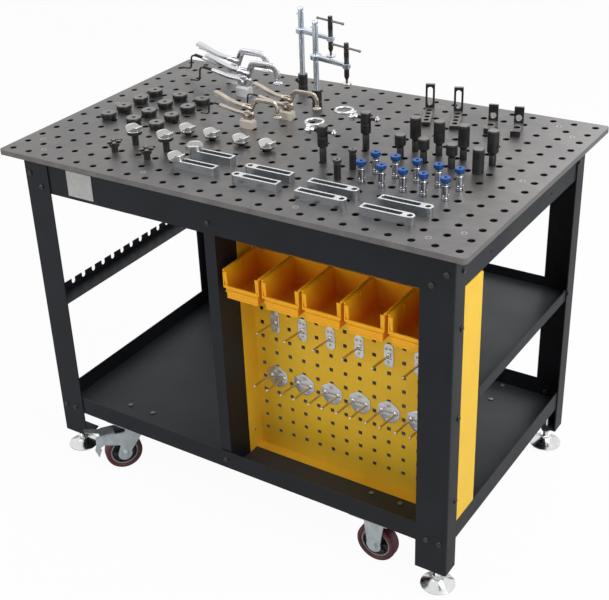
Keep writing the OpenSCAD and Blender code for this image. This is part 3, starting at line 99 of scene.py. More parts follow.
class Finish:
    """A material on one Principled shader, with the patterns that the finishes share."""

    def __init__(self, name, **sockets):
        self.material = bpy.data.materials.new(name)
        self.material.use_nodes = True
        self.tree = self.material.node_tree
        self.shader = self.tree.nodes["Principled BSDF"]
        self.where = self.node("ShaderNodeTexCoord", {}, {}, "Object")
        self.bumps = None
        for socket, value in sockets.items():
            self.set(socket.replace("_", " "), value)

    def set(self, socket, value):
        """Sets a socket of the shader to a number, a colour or a Value."""
        self.feed(self.shader.inputs[socket], value)

    def feed(self, socket, value):
        if isinstance(value, Value):
            self.tree.links.new(value.socket, socket)
        elif isinstance(value, tuple) and len(value) == 3 and socket.type == "RGBA":
            socket.default_value = (*value, 1.0)
        else:
            socket.default_value = value

    def node(self, kind, settings, values, output=0):
        """Adds a node: its settings first, then the values or links of its sockets. stops are a ramp's."""
        made = self.tree.nodes.new(kind)
        for name, value in settings.items():
            if name == "stops":
                ramp = made.color_ramp.elements
                while len(ramp) < len(value):
                    ramp.new(0.5)
                for element, (position, colour) in zip(ramp, value):
                    element.position = position
                    element.color = (*colour, 1.0)
            else:
                setattr(made, name, value)
        for name, value in values.items():
            self.feed(made.inputs[name], value)
        return Value(self, made.outputs[output])

    def noise(self, scale, detail=2.0, roughness=0.5, stretch=None):
        """Noise from 0 to 1; scale is in cells per metre, stretch squeezes it along the axes."""
        where = self.where
        if stretch:
            where = self.node("ShaderNodeMapping", {}, {"Vector": where, "Scale": stretch})
        return self.node("ShaderNodeTexNoise", {}, {
            "Vector": where, "Scale": scale, "Detail": detail, "Roughness": roughness})

    def axis(self, name):
        """One coordinate of the surface, in metres."""
        return self.node("ShaderNodeSeparateXYZ", {}, {0: self.where}, name)

    def upward(self, low=0.62):
        """One where the surface faces up, falling to zero where its normal's Z comes down to low."""
        normal = self.node("ShaderNodeTexCoord", {}, {}, "Normal")
        return self.span(self.node("ShaderNodeSeparateXYZ", {}, {0: normal}, "Z"), low, 0.96)

    def span(self, value, low, high, to_low=0.0, to_high=1.0):
        """Value from low..high mapped to to_low..to_high and held inside it."""
        return self.node("ShaderNodeMapRange", {"clamp": True}, {
            "Value": value, "From Min": low, "From Max": high, "To Min": to_low, "To Max": to_high})

    def mix(self, share, first, second):
        """Colour between first and second by share."""
        return self.node("ShaderNodeMix", {"data_type": "RGBA"}, {0: share, 6: first, 7: second}, 2)

    def bump(self, height, depth, strength=1.0):
        """Adds a bump of a height pattern; depth is in metres."""
        values = {"Height": height, "Distance": depth, "Strength": strength}
        if self.bumps:
            values["Normal"] = self.bumps
        self.bumps = self.node("ShaderNodeBump", {}, values)
        self.set("Normal", self.bumps)


def powder_coat():
    """Black powder coat: fine orange peel, a slightly bluish tone, and a painted highlight paling what faces up."""
    made = Finish("black_powder_coat", Specular_IOR_Level=0.24)
    cloud = made.noise(9.0, 3.0)
    grain = made.noise(900.0, 2.0)
    tone = made.mix(made.span(cloud, 0.3, 0.7), (0.0056, 0.0068, 0.0098), (0.0104, 0.0122, 0.0175))
    # Painted highlight: faces that point up are mixed toward a paler grey, as if lit from above.
    made.set("Base Color", made.mix(made.upward() * 0.7, tone, (0.054, 0.058, 0.065)))
    made.set("Roughness", made.span(cloud * 0.6 + grain * 0.4, 0.3, 0.7, 0.4, 0.56))
    made.bump(made.noise(1400.0, 1.0), 0.00006, 0.5)
    return made.material


def oiled_plate(name, dark, pale, rough):
    """Dark rolled steel, oiled: cloudy blotches, long fine grinding marks and smudges, painted shade in the holes."""
    made = Finish(name, Metallic=0.75)
    cloud = made.noise(4.5, 4.0, 0.6)
    smudge = made.noise(28.0, 3.0, 0.55)
    marks = made.noise(60.0, 3.0, 0.6, stretch=(0.6, 14.0, 1.0))
    tone = made.mix(made.span(cloud * 0.55 + smudge * 0.25 + marks * 0.2, 0.35, 0.65), dark, pale)
    low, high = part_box("table_top")
    inside = (made.span(made.axis("X").size(), high[0] - RIM_FROM, high[0] - RIM_TO, 1.0, 0.0)
              * made.span(made.axis("Y").size(), high[1] - RIM_FROM, high[1] - RIM_TO, 1.0, 0.0))
    below = made.span(made.axis("Z"), high[2] - HOLE_SHADE_FULL, high[2] - HOLE_SHADE_START, 1.0, 0.0)
    # Painted shade: the holes' walls go near black below the top, away from the plate's outer edge.
    made.set("Base Color", made.mix(inside * below, tone, (0.012, 0.012, 0.013)))
    made.set("Roughness", made.span(cloud * 0.4 + smudge * 0.3 + marks * 0.3, 0.3, 0.7, rough - 0.07, rough + 0.09))
    made.bump(marks, 0.00004, 0.35)
    return made.material


def board_paint():
    """Yellow powder coat with a fine grain."""
    made = Finish("yellow_powder_coat", Specular_IOR_Level=0.15)
    cloud = made.noise(7.0, 3.0)
    made.set("Base Color", made.mix(made.span(cloud, 0.3, 0.7), (0.86, 0.53, 0.034), (0.94, 0.6, 0.046)))
    made.set("Roughness", made.span(made.noise(300.0, 2.0), 0.3, 0.7, 0.36, 0.48))
    made.bump(made.noise(1300.0, 1.0), 0.00005, 0.4)
    return made.material


def bin_plastic():
    """Amber moulded plastic with a matt grain, and painted shade: darker and redder below the rim, behind the front."""
    made = Finish("amber_plastic", Specular_IOR_Level=0.3)
    cloud = made.noise(16.0, 2.0)
    depth = made.span(made.axis("Z") + cloud * 0.01, BIN_SHADE_LOW, BIN_SHADE_HIGH)
    behind_front = made.span(made.axis("Y"), BIN_SHADE_FRONT, BIN_SHADE_BACK)
    # Painted shade: below the rim and behind the front face the amber goes darker and redder.
    painted_shade = (1 - depth) * behind_front
    pale = made.mix(made.span(cloud, 0.3, 0.7), (0.96, 0.45, 0.01), (0.98, 0.5, 0.014))
    made.set("Base Color", made.mix(painted_shade, pale, (0.86, 0.29, 0.012)))
    made.set("Roughness", made.span(made.noise(500.0, 2.0), 0.3, 0.7, 0.33, 0.47))
    made.bump(made.noise(1600.0, 2.0), 0.00005, 0.5)
    return made.material


def plated(name, dark, pale, rough, metallic=1.0):
    """Plating: cloudy tone, small spots and a soft grain."""
    made = Finish(name, Metallic=metallic)
    cloud = made.noise(40.0, 3.0, 0.6)
    spots = made.noise(420.0, 2.0)
    made.set("Base Color", made.mix(made.span(cloud * 0.8 + spots * 0.2, 0.3, 0.7), dark, pale))
    made.set("Roughness", made.span(cloud * 0.6 + spots * 0.4, 0.3, 0.7, rough - 0.05, rough + 0.07))
    made.bump(spots, 0.00002, 0.2)
    return made.material


def milled(name, colour, rough, metallic=1.0, side_shade=None, lean=0.62):
    """Milled steel: cutter marks along one axis over a slow change of tone; what leans may get a painted shade colour.
    """
    made = Finish(name, Metallic=metallic)
    marks = made.noise(220.0, 3.0, 0.6, stretch=CUTTER_LAY)
    cloud = made.noise(30.0, 2.0)
    tone = made.mix(made.span(marks * 0.5 + cloud * 0.5, 0.3, 0.7), tuple(0.86 * c for c in colour), colour)
    # Painted shade: leaning sides and groove walls take the darker colour, so what faces up reads as a painted
    # highlight.
    made.set("Base Color", made.mix(made.upward(lean), side_shade, tone) if side_shade else tone)
    made.set("Roughness", made.span(marks, 0.3, 0.7, rough - 0.05, rough + 0.08))
    made.bump(marks, 0.00003, 0.2)
    return made.material


def black_oxide(name, dark, pale, rough, top=(0.26, 0.25, 0.235)):
    """Black oxide on turned steel: dark and oily, a little paler where handled, with a painted highlight on its tops.
    """
    made = Finish(name, Metallic=0.5)
    cloud = made.noise(60.0, 3.0)
    tone = made.mix(made.span(cloud, 0.3, 0.7), dark, pale)
    # Painted highlight: faces that point up are mixed toward the paler top colour.
    made.set("Base Color", made.mix(made.upward() * 0.85, tone, top))
    made.set("Roughness", made.span(made.noise(260.0, 2.0), 0.3, 0.7, rough - 0.08, rough + 0.08))
    made.bump(made.noise(700.0, 2.0), 0.00003, 0.4)
    return made.material


def coloured(name, dark, pale, rough, metallic=0.0):
    """Plain coloured plastic, rubber or anodised metal: a cloudy tone and a fine grain."""
    made = Finish(name, Metallic=metallic)
    made.set("Base Color", made.mix(made.span(made.noise(110.0, 3.0), 0.3, 0.7), dark, pale))
    made.set("Roughness", made.span(made.noise(300.0, 2.0), 0.3, 0.7, rough - 0.08, rough + 0.08))
    made.bump(made.noise(900.0, 2.0), 0.00004, 0.4)
    return made.material


FINISHES = {
    "frame": powder_coat(),
    "plate": oiled_plate("oiled_plate", (0.122, 0.118, 0.124), (0.235, 0.226, 0.214), 0.37),
    # plate_edge: lighter steel for the plate's rounded edges, partly bare cut steel and partly a painted highlight on
    # the hole rims
    "plate_edge": oiled_plate("plate_edge", (0.3, 0.3, 0.3), (0.44, 0.43, 0.42), 0.36),
    "board": board_paint(),
    "bin": bin_plastic(),
    "zinc": plated("zinc_plate", (0.42, 0.47, 0.5), (0.6, 0.66, 0.69), 0.33, 0.8),
    "brass_wire": plated("passivated_wire", (0.46, 0.38, 0.2), (0.64, 0.54, 0.33), 0.3),
    "hook_zinc": plated("hook_zinc", (0.56, 0.6, 0.66), (0.72, 0.76, 0.82), 0.3, 0.75),
    "foot": plated("bright_plate", (0.66, 0.67, 0.67), (0.8, 0.81, 0.8), 0.16),
    "machined_steel": milled("milled_steel", (0.7, 0.71, 0.71), 0.26),
    # bar_steel and pad_steel: the third colour is painted shade for leaning sides and groove walls
    "bar_steel": milled("bar_steel", (0.8, 0.81, 0.82), 0.3, 0.75, (0.3, 0.32, 0.345)),
    "pad_steel": milled("pad_steel", (0.86, 0.86, 0.85), 0.3, 0.7, (0.42, 0.42, 0.41), 0.86),
    "bolt_steel": plated("bolt_steel", (0.38, 0.4, 0.43), (0.55, 0.57, 0.6), 0.14),
    # screw_steel's last colour, and the default one of dull_steel and black_steel, is a painted highlight on top faces
    "screw_steel": black_oxide("screw_steel", (0.22, 0.21, 0.21), (0.3, 0.29, 0.29), 0.38, (0.33, 0.31, 0.31)),
    "dull_steel": black_oxide("dull_steel", (0.17, 0.175, 0.165), (0.25, 0.255, 0.24), 0.34),
    "chrome": plated("hard_chrome", (0.72, 0.73, 0.74), (0.84, 0.85, 0.86), 0.12),
    "post_chrome": plated("post_chrome", (0.62, 0.69, 0.78), (0.74, 0.81, 0.9), 0.12),
    "socket_steel": black_oxide("socket_steel", (0.02, 0.02, 0.022), (0.045, 0.043, 0.042), 0.36, (0.03, 0.03, 0.03)),
    "block_steel": plated("block_steel", (0.74, 0.75, 0.76), (0.84, 0.85, 0.86), 0.2, 0.35),
    "black_steel": black_oxide("black_oxide", (0.02, 0.02, 0.022), (0.045, 0.043, 0.042), 0.36),
    "blue_head": coloured("blue_anodised", (0.016, 0.085, 0.3), (0.028, 0.125, 0.42), 0.3, 0.65),
    "silver_pliers": plated("nickel_plate", (0.66, 0.67, 0.7), (0.74, 0.75, 0.78), 0.16),
    "bronze_pliers": plated("warm_nickel", (0.5, 0.44, 0.37), (0.6, 0.53, 0.45), 0.18),
    "bronze_block": plated("pale_nickel", (0.72, 0.66, 0.56), (0.82, 0.77, 0.67), 0.18, 0.35),
    "wheel": coloured("burgundy_tread", (0.076, 0.007, 0.014), (0.115, 0.011, 0.02), 0.42),
    "hub": coloured("black_hub", (0.012, 0.012, 0.013), (0.022, 0.022, 0.024), 0.4),
    "hub_ring": coloured("grey_ring", (0.2, 0.2, 0.205), (0.27, 0.27, 0.275), 0.42),
    "tag": coloured("tag_panel", (0.46, 0.46, 0.45), (0.54, 0.54, 0.53), 0.42),
}


# Shapes. A solid is a pair: its points in millimetres, and its faces as arrays of point numbers

TURN = 2 * math.pi


def joined(*solids):
    """Several solids as one: the faces of each are counted on from the points before it."""
    points, faces, count = [], [], 0
    for some_points, some_faces in solids:
        points.append(some_points)
        faces += [block + count for block in some_faces]
        count += len(some_points)
    return np.concatenate(points), faces


def moved(solid, at=(0, 0, 0), turn=0.0, size=1.0):
    """A solid scaled by size, turned about Z in degrees and shifted to at."""
    a = math.radians(turn)
    about_z = np.array([[math.cos(a), -math.sin(a), 0], [math.sin(a), math.cos(a), 0], [0, 0, 1]])
    points, faces = solid
    return points * size @ about_z.T + np.asarray(at, float), faces


def aimed(solid, at, axis):
    """A solid made along Z, laid so that its Z points along axis, and shifted to at."""
    turn = np.array(Vector((0, 0, 1)).rotation_difference(Vector(axis)).to_matrix())
    points, faces = solid
    return points @ turn.T + np.asarray(at, float), faces


def grid_faces(rows, columns, wrap_rows=False, wrap_columns=False):
    """Quads of a grid of points; the last row or column may join the first."""
    i = np.arange(rows if wrap_rows else rows - 1)[:, None]
    j = np.arange(columns if wrap_columns else columns - 1)[None, :]
    a, b = i * columns, (i + 1) % rows * columns
    k, m = j, (j + 1) % columns
    return np.stack([a + k, b + k, b + m, a + m], -1).reshape(-1, 4)


def end_faces(rows, columns):
    """The first and the last row of a grid as one face each."""
    return np.stack([np.arange(columns)[::-1], np.arange(columns) + (rows - 1) * columns])


def rounded(points, radius, steps=4, closed=True):
    """A line with its corners cut round: a quadratic curve from radius before a corner to radius after it."""
    points = np.asarray(points, float)
    before, after = np.roll(points, 1, 0), np.roll(points, -1, 0)
    reach = np.broadcast_to(np.asarray(radius, float), len(points))[:, None]

    def cut(other):
        step = other - points
        length = np.linalg.norm(step, axis=1, keepdims=True)
        return points + step / length * np.minimum(reach, 0.49 * length)

    first, last = cut(before), cut(after)
    t = np.linspace(0, 1, steps)[None, :, None]
    arcs = (1 - t) ** 2 * first[:, None] + 2 * t * (1 - t) * points[:, None] + t ** 2 * last[:, None]
    if closed:
        return arcs.reshape(-1, points.shape[1])
    return np.concatenate([points[:1], arcs[1:-1].reshape(-1, points.shape[1]), points[-1:]])


def smooth_line(points, per_span=6):
    """Catmull-Rom curve through points, with per_span steps from each to the next."""
    p = np.asarray(points, float)
    p = np.concatenate([2 * p[:1] - p[1:2], p, 2 * p[-1:] - p[-2:-1]])
    t = np.linspace(0, 1, per_span, endpoint=False)[None, :, None]
    a, b, c, d = (p[k:len(p) - 3 + k][:, None] for k in range(4))
    curve = 0.5 * (2 * b + (c - a) * t + (2 * a - 5 * b + 4 * c - d) * t ** 2 + (3 * b - a - 3 * c + d) * t ** 3)
    return np.concatenate([curve.reshape(-1, p.shape[1]), p[-2:-1]])


def turned(profile, sides=32, ring=False, hexed=None):
    """Body of revolution about Z: the point of row i at angle t is (r cos t, r sin t, z). On rows marked
    in hexed r is divided by the cosine of the angle to the middle of the nearest of six flats."""
    r, z = np.asarray(profile, float).T
    t = np.arange(sides) * TURN / sides
    flat = 1 / np.cos((t + TURN / 12) % (TURN / 6) - TURN / 12)
    marked = np.zeros(len(r), bool) if hexed is None else np.asarray(hexed, bool)
    reach = np.where(marked[:, None], r[:, None] * flat, r[:, None])
    points = np.stack([reach * np.cos(t), reach * np.sin(t), np.repeat(z[:, None], sides, 1)], -1)
    return points.reshape(-1, 3), [grid_faces(len(r), sides, ring, True)]


def threaded(radius, depth, pitch, low, high, sides=20, per_turn=6):
    """Screw thread about Z: r is radius less depth where z / pitch - t / turn is half way between whole
    numbers, with straight flanks between, fading out over the first and last pitch."""
    z = np.arange(low, high + 1e-6, pitch / per_turn)
    t = np.arange(sides) * TURN / sides
    phase = z[:, None] / pitch - t[None, :] / TURN
    wave = np.abs(phase - np.round(phase)) * 2
    fade = np.clip((z - low) / pitch, 0, 1) * np.clip((high - z) / pitch, 0, 1)
    r = radius - depth * (1 - fade[:, None] * (1 - wave))
    points = np.stack([r * np.cos(t), r * np.sin(t), np.repeat(z[:, None], sides, 1)], -1).reshape(-1, 3)
    return points, [grid_faces(len(z), sides, False, True), end_faces(len(z), sides)]


def ball(radius, at=(0, 0, 0), sides=16, rows=9):
    """Sphere: a half circle turned about Z."""
    a = np.linspace(-TURN / 4, TURN / 4, rows)
    return moved(turned(np.stack([radius * np.cos(a), radius * np.sin(a)], 1), sides), at)


def swept(path, section, side=(0, 1, 0), sizes=None):
    """A section carried along a path: point = path + a * across + b * normal, where (a, b) is the section's
    point times sizes there, across lies along side, and normal is square to both. Flat ends close it."""
    path, section, side = np.asarray(path, float), np.asarray(section, float), np.asarray(side, float)
    along = np.gradient(path, axis=0)
    along /= np.linalg.norm(along, axis=1, keepdims=True)
    normal = np.cross(along, side)
    normal /= np.linalg.norm(normal, axis=1, keepdims=True)
    across = np.cross(normal, along)
    scale = np.ones((len(path), 2)) if sizes is None else np.asarray(sizes, float)
    a, b = (section[None, :, k] * scale[:, k, None] for k in (0, 1))
    points = path[:, None] + a[..., None] * across[:, None] + b[..., None] * normal[:, None]
    rows, columns = len(path), len(section)
    return points.reshape(-1, 3), [grid_faces(rows, columns, False, True), end_faces(rows, columns)]


def ended(path, reach, steps=5):
    """A path with close points at both ends, and the sizes that round the ends: at distance d from an end
    the size is the root of 1 - (1 - d / reach) squared, one past reach."""
    path = np.asarray(path, float)
    length = np.concatenate([[0], np.cumsum(np.linalg.norm(np.diff(path, axis=0), axis=1))])
    near = reach * (1 - np.cos(np.linspace(0.12, TURN / 4, steps)))
    inner = length[(length > reach) & (length < length[-1] - reach)]
    at = np.concatenate([near, inner, length[-1] - near[::-1]])
    points = np.stack([np.interp(at, length, path[:, k]) for k in range(3)], 1)
    d = np.minimum(at, length[-1] - at)
    size = np.sqrt(1 - np.clip(1 - d / reach, 0, 1) ** 2)
    return points, np.stack([size, size], 1)


def bar(path, section, reach, side=(0, 1, 0), widths=(1.0, 1.0)):
    """A section along a path with rounded ends; widths are its sizes at the start and at the end."""
    points, sizes = ended(path, reach)
    grow = np.linspace(widths[0], widths[1], len(points))[:, None]
    return swept(points, section, side, sizes * grow)


def rod(path, radius, sides=10, side=(0, 1, 0)):
    """Round bar along a path, its ends a little rounded."""
    t = np.arange(sides) * TURN / sides
    return bar(path, radius * np.stack([np.cos(t), np.sin(t)], 1), 0.6 * radius, side)


def oblong(width, height, radius, steps=4):
    """Outline of a rectangle with round corners about the middle."""
    w, h = width / 2, height / 2
    return rounded([(-w, -h), (w, -h), (w, h), (-w, h)], radius, steps)


def circle(radius, middle=(0, 0), sides=16):
    """Points round a circle."""
    t = np.arange(sides) * TURN / sides
    return np.stack([middle[0] + radius * np.cos(t), middle[1] + radius * np.sin(t)], 1)


def lobed(radius, depth, count, sides=60):
    """Outline of a grip: r = radius + depth cos(count t)."""
    t = np.arange(sides) * TURN / sides
    r = radius + depth * np.cos(count * t)
    return np.stack([r * np.cos(t), r * np.sin(t)], 1)


def inset(outline, reach):
    """An outline that runs anticlockwise, moved in: each point goes along the mean of its two edges'
    normals, divided by the cosine of half their angle."""
    before, after = np.roll(outline, 1, 0), np.roll(outline, -1, 0)

    def normal(step):
        step = step / np.maximum(np.linalg.norm(step, axis=1, keepdims=True), 1e-9)
        return np.stack([-step[:, 1], step[:, 0]], 1)

    first, last = normal(outline - before), normal(after - outline)
    mean = first + last
    return outline + reach * 2 * mean / np.maximum((mean ** 2).sum(1, keepdims=True), 0.6)


# The two axes that a flat shape's x and y may lie along
UPRIGHT = ((1, 0, 0), (0, 0, 1))
LYING = ((1, 0, 0), (0, 1, 0))
CROSSWISE = ((0, 1, 0), (0, 0, 1))


def slab(outline, thickness, edge, at=(0, 0, 0), axes=UPRIGHT, steps=3):
    """An outline given a thickness, its edges rounded by edge: rows go in by edge * (1 - cos u) while they
    rise by edge * sin u. x and y of the outline lie along axes and the middle at at."""
    outline = np.asarray(outline, float)
    if (outline[:, 0] * np.roll(outline[:, 1], -1) - outline[:, 1] * np.roll(outline[:, 0], -1)).sum() < 0:
        outline = outline[::-1]
    u = np.linspace(TURN / 4, 0, steps)
    reach = edge * (1 - np.cos(u))
    height = thickness / 2 - edge + edge * np.sin(u)
    reach, height = np.concatenate([reach, reach[::-1]]), np.concatenate([-height, height[::-1]])
    rows = [np.column_stack([inset(outline, r), np.full(len(outline), h)]) for r, h in zip(reach, height)]
    x, y = (np.asarray(axis, float) for axis in axes)
    basis = np.stack([x, y, np.cross(x, y)])
    points = np.concatenate(rows) @ basis + np.asarray(at, float)
    return points, [grid_faces(len(rows), len(outline), False, True), end_faces(len(rows), len(outline))]


def block(low, high, edge=0.4):
    """A box from low to high with rounded edges."""
    low, high = np.asarray(low, float), np.asarray(high, float)
    (w, d, h), middle = high - low, (low + high) / 2
    return slab(oblong(w, d, 2 * edge, 3), h, edge, middle, LYING)


def stamped(outlines, thickness, edge, at=(0, 0, 0), axes=UPRIGHT):
    """Sheet cut to outlines, the later ones as holes, its edges rounded by edge: a filled flat curve given
    half the thickness to each side, laid with its x and y along axes and its middle at at."""
    curve = bpy.data.curves.new("cut", "CURVE")
    curve.dimensions = "2D"
    curve.fill_mode = "BOTH"
    curve.extrude = thickness / 2 - edge
    curve.bevel_depth = edge
    curve.bevel_resolution = 1
    curve.offset = -edge
    for outline in outlines:
        spline = curve.splines.new("POLY")
        spline.points.add(len(outline) - 1)
        flat = np.zeros((len(outline), 4))
        flat[:, :2] = outline
        flat[:, 3] = 1
        spline.points.foreach_set("co", flat.ravel())
        spline.use_cyclic_u = True
    holder = bpy.data.objects.new("cut", curve)
    bpy.context.scene.collection.objects.link(holder)
    mesh = bpy.data.meshes.new_from_object(holder.evaluated_get(bpy.context.evaluated_depsgraph_get()))
    flat = np.zeros(len(mesh.vertices) * 3)
    mesh.vertices.foreach_get("co", flat)
    faces = [np.array([face.vertices[:]]) for face in mesh.polygons]
    bpy.data.objects.remove(holder)
    bpy.data.meshes.remove(mesh)
    bpy.data.curves.remove(curve)
    x, y = (np.asarray(axis, float) for axis in axes)
    basis = np.stack([x, y, np.cross(x, y)])
    return flat.reshape(-1, 3) @ basis + np.asarray(at, float), faces


EDGE_ANGLE = math.radians(32)
FLAT_ANGLE = math.radians(0.4)
SLOT_OF = {row["node"]: row["material_slot"] for row in frame["record"]["subparts"]}
BODY_OF = {node: body for body, nodes in frame["record"]["behaviour"]["bodies"].items() for node in nodes}


def shaded(mesh, work):
    """Smooth faces, with an edge kept sharp where its faces meet at more than EDGE_ANGLE."""
    for face in work.faces:
        face.smooth = True
    for edge in work.edges:
        edge.smooth = edge.is_boundary or edge.calc_face_angle(0.0) < EDGE_ANGLE
    work.to_mesh(mesh)
    work.free()


def shown(made, node, instead):
    """Lets a made object ride with node's body, and stand for node if instead is set."""
    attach(made, BODY_OF[node])
    if instead:
        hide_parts(node)
    return made


def piece(name, solid, node, finish=None, instead=True):
    """Makes a mesh object of a solid in one finish, welded and with its faces pointing out."""
    points, faces = solid
    mesh = bpy.data.meshes.new(name)
    mesh.from_pydata((points * MM).tolist(), [], [row for faces_block in faces for row in faces_block.tolist()])
    work = bmesh.new()
    work.from_mesh(mesh)
    bmesh.ops.remove_doubles(work, verts=work.verts, dist=WELD)
    bmesh.ops.dissolve_degenerate(work, edges=work.edges, dist=WELD)
    bmesh.ops.recalc_face_normals(work, faces=work.faces)
    shaded(mesh, work)
    made = bpy.data.objects.new(name, mesh)
    bpy.context.scene.collection.objects.link(made)
    mesh.materials.append(FINISHES[finish or SLOT_OF[node]])
    return shown(made, node, instead)


def eased(node, width, steps=2, rim=None, finish=None):
    """A copy of a node with its sharp edges rounded to width; rim is the finish of the rounding itself."""
    mesh = frame["nodes"][node].data.copy()
    work = bmesh.new()
    work.from_mesh(mesh)
    bmesh.ops.remove_doubles(work, verts=work.verts, dist=WELD)
    bmesh.ops.dissolve_limit(work, angle_limit=FLAT_ANGLE, verts=work.verts, edges=work.edges)
    shaded(mesh, work)
    if "custom_normal" in mesh.attributes:
        mesh.attributes.remove(mesh.attributes["custom_normal"])
    made = bpy.data.objects.new(node + "_eased", mesh)
    bpy.context.scene.collection.objects.link(made)
    rounding = made.modifiers.new("edges", "BEVEL")
    rounding.limit_method = "ANGLE"
    rounding.angle_limit = EDGE_ANGLE
    rounding.width = width * MM
    rounding.segments = steps
    rounding.harden_normals = True
    mesh.materials.clear()
    mesh.materials.append(FINISHES[finish or SLOT_OF[node]])
    if rim:
        mesh.materials.append(FINISHES[rim])
        rounding.material = 1
    return shown(made, node, True)


for name, node in frame["nodes"].items():
    node.data.materials.clear()
    node.data.materials.append(FINISHES[SLOT_OF[name]])


# Frame, sheets and plain hardware keep the model's own form with rounded edges

# The plate's rounded edges, the hole rims among them, take plate_edge: partly bare cut steel, partly painted highlight
eased("table_top", 0.9, 1, rim="plate_edge")
for node in ("front_apron", "back_apron", "left_apron", "right_apron", "front_left_leg", "front_right_leg",
             "back_left_leg", "back_right_leg", "bottom_tray", "middle_shelf", "divider_posts", "clamp_rack"):
    eased(node, 0.5)
eased("tool_board", 0.4, 1)
eased("name_plate", 0.3)
eased("frame_bolts", 0.4, finish="black_steel")
eased("caster_bolts", 0.5, finish="black_steel")
eased("top_screws", 0.3, 1, finish="screw_steel")
eased("caster_plates", 0.6)
eased("right_forks", 0.9)
eased("right_axles", 0.6)
for side in ("front_left", "back_left"):
    eased(side + "_fork", 0.9)
    eased(side + "_brake", 0.7)
    eased(side + "_axle", 0.6)
# Bright chrome on the rounded edges: a painted highlight along the stop bars' edges
eased("stop_bars", 1.0, rim="chrome", finish="bar_steel")
eased("angle_brackets", 0.6)
# Bright chrome on the rounded edges: a painted highlight along the V pads' edges
eased("v_pads", 0.6, rim="chrome", finish="pad_steel")
eased("v_pad_posts", 0.5)


# Bins

BIN_BACK, BIN_FRONT, BIN_LOW, BIN_HIGH = -206.3, -338.9, 633.3, 703.3
BIN_FIRST, BIN_PITCH = 54.0, 104.3
BIN_LIP = BIN_LOW + 32


def bin_trim(x):
    """The bands across a bin's front, the bead along each side's rim and the rib inside each side."""
    bands = [block((x - 46.6, BIN_FRONT - 1.2, BIN_LIP - 5), (x + 46.6, BIN_FRONT + 3.4, BIN_LIP + 0.6), 0.9),
             block((x - 43.6, BIN_FRONT - 0.2, BIN_LIP - 15), (x + 43.6, BIN_FRONT + 3.6, BIN_LIP - 12), 0.8),
             block((x - 41.6, BIN_FRONT + 2.2, BIN_LOW + 0.2), (x + 41.6, BIN_FRONT + 6, BIN_LOW + 3.4), 0.8)]
    for s in (-1, 1):
        bands.append(block((x + s * 48.6 - 1.4, BIN_FRONT + 4, BIN_HIGH - 1), (x + s * 48.6 + 1.4, BIN_BACK - 2,
                                                                               BIN_HIGH + 1.2), 0.8))
        bands.append(block((x + s * 46.6 - 1.3, BIN_FRONT - 0.8, BIN_LIP - 5),
                           (x + s * 46.6 + 1.3, BIN_FRONT + 3, BIN_HIGH - 3), 0.8))
        bands.append(block((x + s * 43.9 - 1, -276, BIN_LOW + 20), (x + s * 43.9 + 1, -272, BIN_HIGH - 3), 0.6))
    bands.append(block((x - 44, BIN_BACK - 4.6, BIN_HIGH - 3), (x + 44, BIN_BACK - 1.2, BIN_HIGH + 1.2), 0.9))
    return joined(*bands)


for i in range(5):
    eased("bin_%d" % (i + 1), 0.8)
    piece("bin_trim_%d" % (i + 1), bin_trim(BIN_FIRST + i * BIN_PITCH), "bin_%d" % (i + 1), instead=False)


# Hooks on the board: stamped plates, wires in them and a raised boss round each wire

BOARD_FACE = -206.0
HOOK_X = [49.6 + 76 * i for i in range(6)]
HOOK_RISE = math.radians(6)
HOOK_AXIS = np.array([0, -math.cos(HOOK_RISE), math.sin(HOOK_RISE)])
HOOK_MIDDLE, HOOK_END, WIRE_R = 20, 74, 2.8


def hook_plates(outline, z, holes):
    """One stamped plate at each hook."""
    return [stamped([rounded(outline, 5, 4), *holes], 2, 0.5, (x, BOARD_FACE - 1, z)) for x in HOOK_X]


def hook_wires(z, shifts):
    """Wires that rise a little, each with a ball at its end."""
    wires = []
    for x in HOOK_X:
        for shift in shifts:
            start = np.array([x + shift, BOARD_FACE - 1, z])
            line = np.stack([start, start + HOOK_MIDDLE * HOOK_AXIS, start + HOOK_END * HOOK_AXIS])
            wires.append(rod(line, WIRE_R, 12, (1, 0, 0)))
    return joined(*wires)


def hook_tips(z, shifts):
    """Bright balls at the wires' ends and bosses at their roots."""
    boss = turned([(2.4, 0), (6.2, 0), (5.4, 1.3), (3.6, 2.4), (2.4, 2.6)], 20, ring=True)
    tips = []
    for x in HOOK_X:
        for shift in shifts:
            start = np.array([x + shift, BOARD_FACE - 1, z])
            tips.append(ball(3.1, start + (HOOK_END + 1) * HOOK_AXIS, 12, 7))
            tips.append(aimed(boss, start + np.array([0, -1, 0]), (0, -1, 0)))
    return joined(*tips)


SINGLE_Z, DOUBLE_Z = 514, 362
piece("single_plates", joined(*hook_plates(
    [(-12, -23), (-7, -30), (7, -30), (12, -23), (12, 23), (7, 30), (-7, 30), (-12, 23)], SINGLE_Z,
    [circle(3, (-5, 17)), circle(3, (5, 17)), oblong(18, 2, 0.9) + (0, -8), circle(3.2, (0, -17))])), "single_hooks",
      "hook_zinc")
piece("single_wires", hook_wires(SINGLE_Z, (0,)), "single_hooks", "brass_wire")
piece("single_tips", hook_tips(SINGLE_Z, (0,)), "single_hooks", "machined_steel")
piece("double_plates", joined(*hook_plates(
    [(-28, -9.7), (-11.2, -29), (11.2, -29), (28, -9.7), (28, 14.5), (4.7, 29), (-4.7, 29), (-28, 14.5)], DOUBLE_Z,
    [circle(3.4, (0, 16)), oblong(22, 2.6, 1.2) + (0, -1), circle(2.4, (0, -17))])), "double_hooks",
      "hook_zinc")
piece("double_wires", hook_wires(DOUBLE_Z, (-18, 18)), "double_hooks", "brass_wire")
piece("double_tips", hook_tips(DOUBLE_Z, (-18, 18)), "double_hooks", "machined_steel")


# Levelling feet

